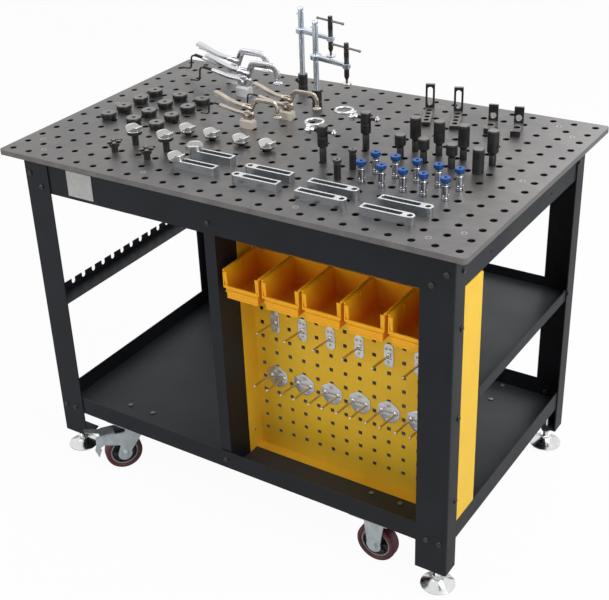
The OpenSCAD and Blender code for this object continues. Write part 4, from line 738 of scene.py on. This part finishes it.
FOOT_X, FOOT_Y, FOOT_Z = 540.2, 315.4, 16.0
FOOT_CONE = [(0, 0), (37.4, 0), (39.4, 0.7), (40, 2), (39.6, 3.3), (38, 4.2), (30, 8), (22, 12.4), (15.5, 17),
             (13.6, 19.2)]
FOOT_HEX = [(11.4, 19.6), (11.8, 20.2), (11.8, 26.2), (11, 27)]
for side, sx, sy in (("front_left", -1, -1), ("front_right", 1, -1), ("back_left", -1, 1), ("back_right", 1, 1)):
    cone = turned(FOOT_CONE + FOOT_HEX + [(0, 27)], 48,
                  hexed=[False] * len(FOOT_CONE) + [True] * len(FOOT_HEX) + [False])
    foot = joined(cone, threaded(8, 0.9, 2.5, 26.5, 113.8))
    piece(side + "_pad", moved(foot, (sx * FOOT_X, sy * FOOT_Y, FOOT_Z)), side + "_foot")


# Wheels: a ribbed hub, a pale ring and a crowned tread

CASTER_X, CASTER_Y, TRAIL, AXLE_Z = 370.0, 288.0, 36.0, 50.0
HUB = [(5.2, -15.4), (5.9, -16), (12, -16), (13, -15), (13.2, -7), (14.4, -6), (28, -6), (30.6, -7.4), (32.4, -11),
       (33.4, -12), (37.8, -12)]
TREAD = [(38.1, -12), (39, -14.6), (41, -16), (45, -16), (47.6, -15), (49.2, -12.4), (50, -8), (50, -2.5), (49.9, 0)]


def mirrored(profile):
    """A profile with its image across z = 0 added."""
    half = np.asarray(profile, float)
    return np.concatenate([half, half[::-1] * (1, -1)])


def wheel_ribs():
    """Eight ribs on each face of the hub's web."""
    rib = [(12.6, -5.6), (30.8, -5.6), (29, -9.2), (12.6, -12)]
    ribs = []
    for k in range(8):
        for s in (-1, 1):
            one = slab(np.asarray(rib) * (1, s), 3, 0.5)
            ribs.append(moved(one, turn=45 * k))
    return joined(*ribs)


HUB_RING = [(33.6, -12.2), (34.2, -13), (37.4, -13), (38.3, -12.2)]
for side, heading, trail, sx, sy in (("front_left", -127.0, TRAIL, -1, -1), ("back_left", 135.069, TRAIL, -1, 1),
                                     ("front_right", 0.0, 0.0, 1, -1), ("back_right", 0.0, 0.0, 1, 1)):
    for part, solid, finish in (("hub", joined(turned(mirrored(HUB), 48, ring=True), wheel_ribs()), "hub"),
                                ("ring", turned(mirrored(HUB_RING), 48, ring=True), "hub_ring"),
                                ("tread", turned(mirrored(TREAD), 64, ring=True), "wheel")):
        upright = aimed(solid, (trail, 0, AXLE_Z), (0, 1, 0))
        piece("%s_%s" % (side, part), moved(upright, (sx * CASTER_X, sy * CASTER_Y, 0), heading),
              side + "_wheel", finish)


# Races of the swivel casters: two rolled beads round the pressed cup

RACE_BEAD = [(26.8, -1.2), (28.4, -1.2), (29, 0), (28.4, 1.2), (26.8, 1.2)]
for side, sy in (("front_left", -1), ("back_left", 1)):
    beads = joined(*(moved(turned(RACE_BEAD, 48, ring=True), (0, 0, z)) for z in (130.5, 135.0)))
    piece(side + "_race", moved(beads, (-CASTER_X, sy * CASTER_Y, 0)), "caster_plates", instead=False)


# Where the tools stand on the plate, counted in hole pitches from its middle

PITCH = 50.8
PLATE_TOP = 896.0


def on_plate(place, height=0.0):
    return np.array([place[0] * PITCH, place[1] * PITCH, PLATE_TOP + height])


def at_each(solid, places, height=0.0):
    """The same solid at several places on the plate."""
    return joined(*(moved(solid, on_plate(place, height)) for place in places))


TALL_RISERS = [(5.5, 1.02), (6.65, 1.02), (7.8, 1.05), (9.17, 1.02)]
SHORT_RISERS = [(5.28, 0.02), (6.4, 0.04), (7.76, -0.02)]
PLAIN_RISER = [(8.98, 0)]
PINS = [(4.05, -1.99), (4.04, -3.27)]
CROWNS = [(-6.75, -5.18), (-4.82, -5.2)]
TALL_H, SHORT_H = 80, 55
DISCS = [(x, y) for x in (-9.88, -8.27, -6.85) for y in (-1.93, -0.75, 0.55, 1.77)]


def riser(h):
    """Turned riser: a stem with a waist, a shoulder that tapers out and a long body with a groove near its top."""
    return turned([(0, 0), (7.2, 0), (7.9, 0.8), (7.9, 22), (7.3, 23), (7.3, 25.5), (8.2, 27), (12, 30.5),
                   (12.7, 31.6), (12.7, h - 3.2), (12.1, h - 2.9), (12.1, h - 2.3), (12.7, h - 2), (12.7, h - 1),
                   (11.8, h), (0, h)], 32)


def crown():
    """Castellated rest: a turned ring with four gaps over a stem; each quarter is a slab of a ring sector."""
    parts = [turned([(0, 0), (7.2, 0), (7.9, 0.8), (7.9, 12.4), (11.4, 13), (12, 13.6), (12, 20.6), (11.6, 21),
                     (4.4, 21), (4, 20.4), (4, 16), (0, 15.6)], 32)]
    t = np.radians(np.linspace(24, 66, 8))
    sector = np.concatenate([np.stack([16.4 * np.cos(t), 16.4 * np.sin(t)], 1),
                             np.stack([4.6 * np.cos(t), 4.6 * np.sin(t)], 1)[::-1]])
    for k in range(4):
        parts.append(moved(slab(sector, 5.6, 0.5, (0, 0, 23.2), LYING), turn=90 * k))
    return joined(*parts)


pin = turned([(0, 0), (7.2, 0), (7.9, 0.8), (7.9, 36), (7, 37), (7, 38), (8.8, 38.6), (9.5, 39.6), (9.5, 44.4),
              (8.6, 46), (3.4, 46), (2.8, 45), (2.8, 42), (0, 41.4)], 32)
plain_riser = turned([(0, 0), (11.8, 0), (12.7, 0.9), (12.7, 51.8), (12.1, 52.1), (12.1, 52.7), (12.7, 53), (12.7, 54),
                      (11.8, 55), (0, 55)], 32)
piece("riser_bodies", joined(at_each(riser(TALL_H), TALL_RISERS), at_each(riser(SHORT_H), SHORT_RISERS),
                             at_each(plain_riser, PLAIN_RISER), at_each(pin, PINS), at_each(crown(), CROWNS)), "risers")
disc = turned([(0, 0), (16.4, 0), (17.4, 0.9), (17.6, 3.8), (19, 4.6), (19.5, 5.4), (19.5, 14.6), (19.1, 15.8),
               (18, 17), (5.2, 17), (4.4, 16.2), (4.4, 8.5), (0, 8.5)], 40)
piece("disc_bodies", at_each(disc, DISCS), "disc_rests")

TALL_PADS = [(-6.42, -4.06), (-4.6, -4.04)]
LOW_PADS = [(-4.98, -1.91), (-3.56, -1.91), (-1.9, -1.91), (-0.45, -1.91)]
BAR_PADS = [(-3.0146, -4.0), (-3.0146, -5.3)]
TALL_POST_H, LOW_POST_H, BAR_H = 35, 11, 19
SEAT = 2
pad_ring = turned([(17.8, 0), (20.2, 0), (20.4, 0.6), (20.4, 2), (20.2, 2.6), (17.8, 2.6)], 40, ring=True)
pad_screw = turned([(0, 0), (4.3, 0), (4.3, 1.1), (3.8, 1.5), (1.9, 1.5), (1.9, 0.5), (0, 0.5)], 24)
piece("pad_screws", joined(at_each(pad_screw, TALL_PADS, TALL_POST_H + SEAT),
                           at_each(pad_screw, LOW_PADS, LOW_POST_H + SEAT),
                           at_each(pad_screw, BAR_PADS, BAR_H + SEAT)), "v_pads", "socket_steel", instead=False)
piece("pad_rings", joined(at_each(pad_ring, TALL_PADS, TALL_POST_H), at_each(pad_ring, LOW_PADS, LOW_POST_H)),
      "v_pads", "chrome", instead=False)

LOCKS = [(x, -2.03) for x in (5.2, 6.15, 7.16, 8.15, 9.1)] + [(x, -3.15) for x in (5.13, 6.09, 7.09, 8.02, 9.0)]
lock_head = turned([(0, 45.4), (3, 45.4), (3, 50.5), (3.9, 51), (10.3, 51), (11, 50.4), (11, 43.2), (10.6, 42.6),
                    (8, 39), (0, 39)], 36, hexed=[False, True, True] + [False] * 7)
lock_shaft = joined(turned([(0, 0), (7, 0), (7.9, 1), (7.9, 6.8), (7.4, 7.4), (7.4, 14.6), (7.9, 15.2), (7.9, 33),
                            (7.3, 33.8), (7.3, 35.4), (7.9, 36.2), (7.9, 38.4), (7.3, 39), (0, 39)], 32),
                    *(ball(2.5, (6.6 * math.cos(math.radians(a)), 6.6 * math.sin(math.radians(a)), 11), 12, 7)
                      for a in (25, 145, 265)))
piece("lock_heads", at_each(lock_head, LOCKS), "lock_bolt_heads")
piece("lock_shafts", at_each(lock_shaft, LOCKS), "lock_bolt_shafts", "bolt_steel")


# Side clamps: a black post, a cross screw with a bright tip, and a ring and a star knob that turn it

SIDE_CLAMPS = [(3.43, 0.25, 172), (2.54, -1.97, 85)]
RING_REACH = 22.5
RING_RISE = 8
SCREW_Z = 74
side_post = joined(
    turned([(0, 0), (7.2, 0), (7.9, 0.8), (7.9, 34), (7.4, 35), (7.4, 36.6), (10, 38), (11.6, 39), (12, 40),
            (12, 60), (11.5, 60.6), (11.5, 62), (12, 62.6), (12, 85.6), (10.8, 87.4), (9, 88), (0, 88)], 36),
    aimed(threaded(4.5, 0.6, 1.8, 0, 17), (11, 0, SCREW_Z), (1, 0, 0)),
    aimed(threaded(4.5, 0.6, 1.8, 0, 17), (-28, 0, SCREW_Z), (1, 0, 0)))


def side_knob(turn):
    """Bright parts of a side clamp: the screw's tip, a star knob and its hub."""
    a = math.radians(turn)
    neck = np.array([(-36, 0, SCREW_Z + 3), (-36 + 8 * math.cos(a), 8 * math.sin(a), SCREW_Z + RING_RISE)])
    return joined(
        rod(neck, 4.4, 16, (math.sin(a), -math.cos(a), 0)),
        aimed(turned([(0, 0), (7, 0), (8, 1), (8, 2.6), (4, 4), (3.6, 7.4), (2.6, 8), (0, 8)], 28), (28, 0, SCREW_Z),
              (1, 0, 0)),
        slab(lobed(10.6, 1.6, 6), 13, 2, (-33, 0, SCREW_Z), CROSSWISE),
        aimed(turned([(6.2, 0), (5, 6), (5.4, 8), (0, 8)], 24), (-27, 0, SCREW_Z), (1, 0, 0)))


def side_ring(turn):
    """Ring beside the star knob, a little above the screw."""
    a = math.radians(turn)
    ring = turned(circle(3.4, (19.6, 0), 14), 48, ring=True)
    return moved(ring, (-36 + RING_REACH * math.cos(a), RING_REACH * math.sin(a), SCREW_Z + RING_RISE))


piece("side_posts", at_each(side_post, SIDE_CLAMPS), "side_clamps")
piece("side_knobs", joined(*(at_each(side_knob(place[2]), [place]) for place in SIDE_CLAMPS)), "side_clamps", "chrome")
piece("side_rings", joined(*(at_each(side_ring(place[2]), [place]) for place in SIDE_CLAMPS)), "side_clamps",
      "machined_steel")


# Locking pliers, drawn in the upright plane through their length

JAW = 100 * np.array([(-0.08, 0.2), (-0.15, 0.34), (-0.1, 0.48), (0.08, 0.56), (0.2, 0.53), (0.26, 0.42),
                      (0.22, 0.3), (0.13, 0.2)])
ARCH = 100 * np.array([(0.13, 0.46), (0.33, 0.9), (0.97, 0.9), (1.09, 0.74), (1.08, 0.57)])
HANDLE = 100 * np.array([(0.06, 0.36), (-0.08, 0.42), (-0.36, 0.43), (-0.68, 0.49), (-1, 0.55)])
LEVER = 100 * np.array([(-1.14, 0.94), (-0.88, 0.86), (-0.58, 0.75), (-0.3, 0.68), (-0.08, 0.66)])
TAB = 100 * np.array([(-1.1, 0.815), (-0.98, 0.8), (-0.85, 0.77), (-0.76, 0.74)])
CRANK = 100 * np.array([(-1, 0.55), (-1.15, 0.575), (-1.37, 0.57), (-1.41, 0.2), (-1.69, 0.19)])
CHANNEL = np.array([(-8, -4.4), (-8, 2.6), (-6.6, 4.3), (6.6, 4.3), (8, 2.6), (8, -4.4), (5.6, -4.4), (5.6, 1.6),
                    (-5.6, 1.6), (-5.6, -4.4)])


def raised(line):
    """A line of x and z in the plane y = 0."""
    line = np.asarray(line, float)
    return np.stack([line[:, 0], np.zeros(len(line)), line[:, 1]], 1)


def plier_base(length):
    """Base block with a crowned top."""
    crown_y = np.linspace(11.5, -11.5, 11)
    base = np.concatenate([[(-11.5, 0), (11.5, 0)], np.stack([crown_y, 9 + np.sqrt(289 - crown_y ** 2)], 1)])
    return slab(base, length, 1.2, (2, 0, 0), CROSSWISE)


def plier_body(arch_t):
    """Jaw plate with its rivets, handle, arched frame, swivel pad, lever, ears and tab."""
    rivet = turned([(0, 1.9), (2.2, 1.8), (4, 1), (4.8, 0), (4.8, -2), (0, -2)], 20)
    parts = [slab(smooth_line(np.concatenate([JAW, JAW[:1]]), 4)[:-1], 10, 2.6, (0, 0, 0), UPRIGHT, 4),
             bar(smooth_line(raised(HANDLE), 6), oblong(12, 10, 3.6), 5, widths=(1, 0.92)),
             bar(rounded(raised(ARCH), 8, 6, closed=False), oblong(9.4, arch_t, 2.2), 3, widths=(1.06, 0.88)),
             bar(smooth_line(raised(LEVER), 6), CHANNEL, 5, widths=(1.04, 0.88)),
             bar(smooth_line(raised(TAB), 5), oblong(9, 2.6, 1), 2.4),
             moved(turned([(0, -8.6), (11, -8.6), (12.2, -7.6), (12.2, -5.4), (11, -4.2), (6.6, -3), (6, -2), (6, 4),
                           (5, 5), (0, 5)], 28), (108, 0, 54))]
    for x, z, reach in ((2, 37, 5.6), (17, 46, 5), (-8, 66, 7.6)):
        for s in (-1, 1):
            parts.append(aimed(rivet, (x, s * reach, z), (0, s, 0)))
    ear = rounded([(-14, 61), (-3, 59), (16, 56), (26, 60), (22, 68), (-6, 71), (-14, 69)], 5, 4)
    for s in (-1, 1):
        parts.append(slab(ear, 3, 1, (0, s * 6.6, 0), UPRIGHT))
    return joined(*parts)


def plier_crank(thick):
    """Adjusting screw out of the handle's end and the bent rod that turns it, with a round end."""
    path = rounded(raised(CRANK), 9, 6, closed=False)
    screw = threaded(4.4 if thick else 3.4, 0.7, 2, 0, 27 if thick else 18)
    along = raised(CRANK)[1] - raised(CRANK)[0]
    return joined(rod(path, 2.5, 12), aimed(screw, (-98, 0, 55.4), along),
                  ball(3.4, (-168, 0, 19), 12, 7))


SMALL = 0.82
LARGE_PLIERS = [(-5.71, 3.78), (-7.36, 5.23)]
SMALL_PLIERS = [(-2.93, 0.1), (-1.9, 1.91)]
piece("large_plier_bases", at_each(plier_base(38), LARGE_PLIERS), "large_pliers", "block_steel")
piece("large_plier_bodies", at_each(plier_body(16), LARGE_PLIERS), "large_pliers")
piece("small_plier_bases", at_each(moved(plier_base(38 / SMALL), size=SMALL), SMALL_PLIERS), "small_pliers",
      "bronze_block")
piece("small_plier_bodies", at_each(moved(plier_body(11), size=SMALL), SMALL_PLIERS), "small_pliers")
piece("cranks", joined(at_each(plier_crank(True), LARGE_PLIERS),
                       at_each(moved(plier_crank(False), size=SMALL), SMALL_PLIERS)), "plier_cranks")


# Bar clamps

CLAMPS = [(-3.39, 5.79), (-1.46, 4.02)]
CLAMP_TURN = -15.5
ARM_LEVELS = [157, 127]
ARM_L = 108
CROSS_REACH, CROSS_Z, CROSS_TURN = 45, 44, 1


def at_clamp(solid, i):
    return moved(solid, on_plate(CLAMPS[i]), CLAMP_TURN)


def clamp_post():
    """Round post with a groove under its domed head and a wire ring through it."""
    return joined(
        turned([(0, 0), (6.4, 0), (7, 0.8), (7, 206), (6.2, 206.6), (6.2, 208.4), (7, 209), (7, 216.4), (6.4, 217.6),
                (5, 218), (0, 218)], 28),
        aimed(turned(circle(1, (5, 0), 8), 28, ring=True), (-10, 0, 196), (0, 1, 0)))


def clamp_sleeve():
    """Sleeve with a rib, and a thumb screw that pinches the post."""
    return joined(
        turned([(7.1, 0.4), (7.6, 0), (11.6, 0), (12.4, 0.9), (12.4, 13), (11.6, 13.8), (11.6, 16.2), (12.4, 17),
                (12.4, 42.8), (11.6, 44), (7.6, 44), (7.1, 43.6)], 32, ring=True),
        aimed(threaded(2.6, 0.4, 1.4, 0, 6.4, 14), (0, -10.4, 31), (0, -1, 0)),
        slab(lobed(5.6, 0.8, 5, 40), 5, 1, (0, -18.6, 31), UPRIGHT))


def clamp_arm(level):
    """Arm: a ring round the post, a ring round the spindle and a tapering bar between."""
    head = turned([(7.2, 2), (8, 1.2), (13, 1.2), (14, 2.2), (14, 11.8), (13, 12.8), (8, 12.8), (7.2, 12)], 32,
                  ring=True)
    tip = turned([(6.5, 1.8), (7, 1.2), (9.2, 1.2), (10, 2), (10, 12), (9.2, 12.8), (7, 12.8), (6.5, 12.2)], 28,
                 ring=True)
    x = np.linspace(10.5, ARM_L - 7.5, 10)
    path = np.stack([x, np.zeros(10), np.full(10, 7.0)], 1)
    fall = np.linspace(1, 0.72, 10)[:, None]
    web = swept(path, oblong(11, 12.6, 2), sizes=np.repeat(fall, 2, 1))
    return moved(joined(head, moved(tip, (ARM_L, 0, 0)), web), (0, 0, level - 7))


def clamp_spindle(level):
    """Stout screw through the arm, with a conical lower end and a ringed grip."""
    grip = [(0, 16.8), (5, 16.8), (6.2, 18), (6.2, 19), (5.5, 19.8), (5.5, 21), (6.2, 21.8), (6.2, 35), (5.5, 35.8),
            (5.5, 37), (6.2, 37.8), (6.2, 50), (5.5, 50.8), (5.5, 52), (6.2, 52.6), (6.2, 54.6), (5, 56), (0, 56)]
    foot = [(0, -41), (2.7, -41), (2.7, -35.4), (3.2, -34), (6.2, -26.4), (6.2, -9), (5, -7.8), (0, -7.8)]
    return moved(joined(threaded(6.2, 0.8, 2.6, -10, 18.8), turned(grip, 28), turned(foot, 28)), (ARM_L, 0, level))


def clamp_handle(level):
    """Cross bar of a spindle with ball ends."""
    line = np.array([(-CROSS_REACH, 0, CROSS_Z), (0, 0, CROSS_Z), (CROSS_REACH, 0, CROSS_Z)], float)
    ends = [ball(3.8, (s * (CROSS_REACH - 1), 0, CROSS_Z), 14, 8) for s in (-1, 1)]
    return moved(moved(joined(rod(line, 2.7, 12), *ends), turn=CROSS_TURN), (ARM_L, 0, level))


def spindle_pad(level):
    """Bright pad under the spindle."""
    return moved(turned([(0, -46.5), (11, -46.5), (12, -45.6), (12, -42.4), (11, -41), (7, -40.4), (0, -40.4)], 32),
                 (ARM_L, 0, level))


piece("posts", joined(at_clamp(clamp_post(), 0), at_clamp(clamp_post(), 1)), "clamp_posts", "post_chrome")
piece("sleeves", joined(at_clamp(clamp_sleeve(), 0), at_clamp(clamp_sleeve(), 1)), "clamp_sleeves")
for i, level in enumerate(ARM_LEVELS):
    piece("arm_%d" % (i + 1), at_clamp(clamp_arm(level), i), "clamp_arm_%d" % (i + 1), "post_chrome")
    piece("spindle_%d" % (i + 1), at_clamp(clamp_spindle(level), i), "clamp_spindle_%d" % (i + 1))
    piece("spindle_bar_%d" % (i + 1), at_clamp(clamp_handle(level), i), "clamp_spindle_%d" % (i + 1), "dull_steel")
    piece("spindle_pad_%d" % (i + 1), at_clamp(spindle_pad(level), i), "clamp_spindle_%d" % (i + 1), "chrome")


# Floor, lights and camera

def plain_floor():
    """A pale floor that reads white to the camera and keeps a faint shadow of the object."""
    size = 12.0
    white_share = 0.96
    mesh = bpy.data.meshes.new("floor")
    mesh.from_pydata([(-size, -size, 0), (size, -size, 0), (size, size, 0), (-size, size, 0)], [], [(0, 1, 2, 3)])
    floor = bpy.data.objects.new("floor", mesh)
    bpy.context.scene.collection.objects.link(floor)
    made = Finish("floor_white", Base_Color=(0.9, 0.9, 0.9), Roughness=0.9)
    seen = made.node("ShaderNodeLightPath", {}, {}, "Is Camera Ray")
    glow = made.node("ShaderNodeEmission", {}, {"Strength": 1.0})
    lit = Value(made, made.shader.outputs[0])
    blend = made.node("ShaderNodeMixShader", {}, {0: seen * white_share, 1: lit, 2: glow})
    made.feed(made.tree.nodes["Material Output"].inputs["Surface"], blend)
    mesh.materials.append(made.material)


def white_world(level):
    """World light of an even level that camera, glossy and transmission rays see as white."""
    world = bpy.data.worlds.new("studio")
    bpy.context.scene.world = world
    world.use_nodes = True
    tree = world.node_tree
    background = tree.nodes["Background"]
    background.inputs["Color"].default_value = (1, 1, 1, 1)
    path = tree.nodes.new("ShaderNodeLightPath")
    seen = path.outputs["Is Camera Ray"]
    for other in ("Is Glossy Ray", "Is Transmission Ray"):
        either = tree.nodes.new("ShaderNodeMath")
        either.operation = "MAXIMUM"
        tree.links.new(seen, either.inputs[0])
        tree.links.new(path.outputs[other], either.inputs[1])
        seen = either.outputs[0]
    strength = tree.nodes.new("ShaderNodeMapRange")
    strength.inputs["To Min"].default_value = level
    strength.inputs["To Max"].default_value = 1.0
    tree.links.new(seen, strength.inputs["Value"])
    tree.links.new(strength.outputs[0], background.inputs["Strength"])


def soft_lamp(name, place, target, size, power):
    """A square area lamp at place that faces target."""
    light = bpy.data.lights.new(name, "AREA")
    light.shape = "SQUARE"
    light.size = size
    light.energy = power
    lamp = bpy.data.objects.new(name, light)
    lamp.location = place
    lamp.rotation_euler = (Vector(target) - Vector(place)).to_track_quat("-Z", "Y").to_euler()
    bpy.context.scene.collection.objects.link(lamp)


# The camera was fitted to the photograph: place, angles in degrees, focal length and centre in pixels
CAMERA_PLACE = (1.41934, -2.16716, 1.90491)
CAMERA_TURN = 36.686
CAMERA_TILT = 29.176
CAMERA_ROLL = -3.861
FOCAL_PX = 1169.14
CENTRE_PX = (243.02, 303.51)


def photo_camera():
    """Camera with the photograph's place, angles and off-centre axis."""
    lens = bpy.data.cameras.new("photo_camera")
    lens.sensor_width = SENSOR
    lens.lens = FOCAL_PX / IMAGE_W * SENSOR
    lens.shift_x = (IMAGE_W / 2 - CENTRE_PX[0]) / IMAGE_W
    lens.shift_y = (CENTRE_PX[1] - IMAGE_H / 2) / IMAGE_W
    camera = bpy.data.objects.new("photo_camera", lens)
    turn = Matrix.Rotation(math.radians(CAMERA_TURN), 4, "Z")
    tilt = Matrix.Rotation(math.radians(90 - CAMERA_TILT), 4, "X")
    roll = Matrix.Rotation(math.radians(CAMERA_ROLL), 4, "Z")
    camera.matrix_world = Matrix.Translation(CAMERA_PLACE) @ turn @ tilt @ roll
    bpy.context.scene.collection.objects.link(camera)
    bpy.context.scene.camera = camera


plain_floor()
white_world(0.37)
soft_lamp("key", (3.0, -0.6, 3.0), (0, 0, 0.6), 2.2, 88)
soft_lamp("fill", (-2.0, -3.2, 1.9), (0, 0, 0.5), 2.4, 34)
soft_lamp("back", (0.4, 3.0, 2.8), (0, 0, 0.7), 2.0, 26)
photo_camera()
bpy.context.scene.view_settings.view_transform = "Standard"
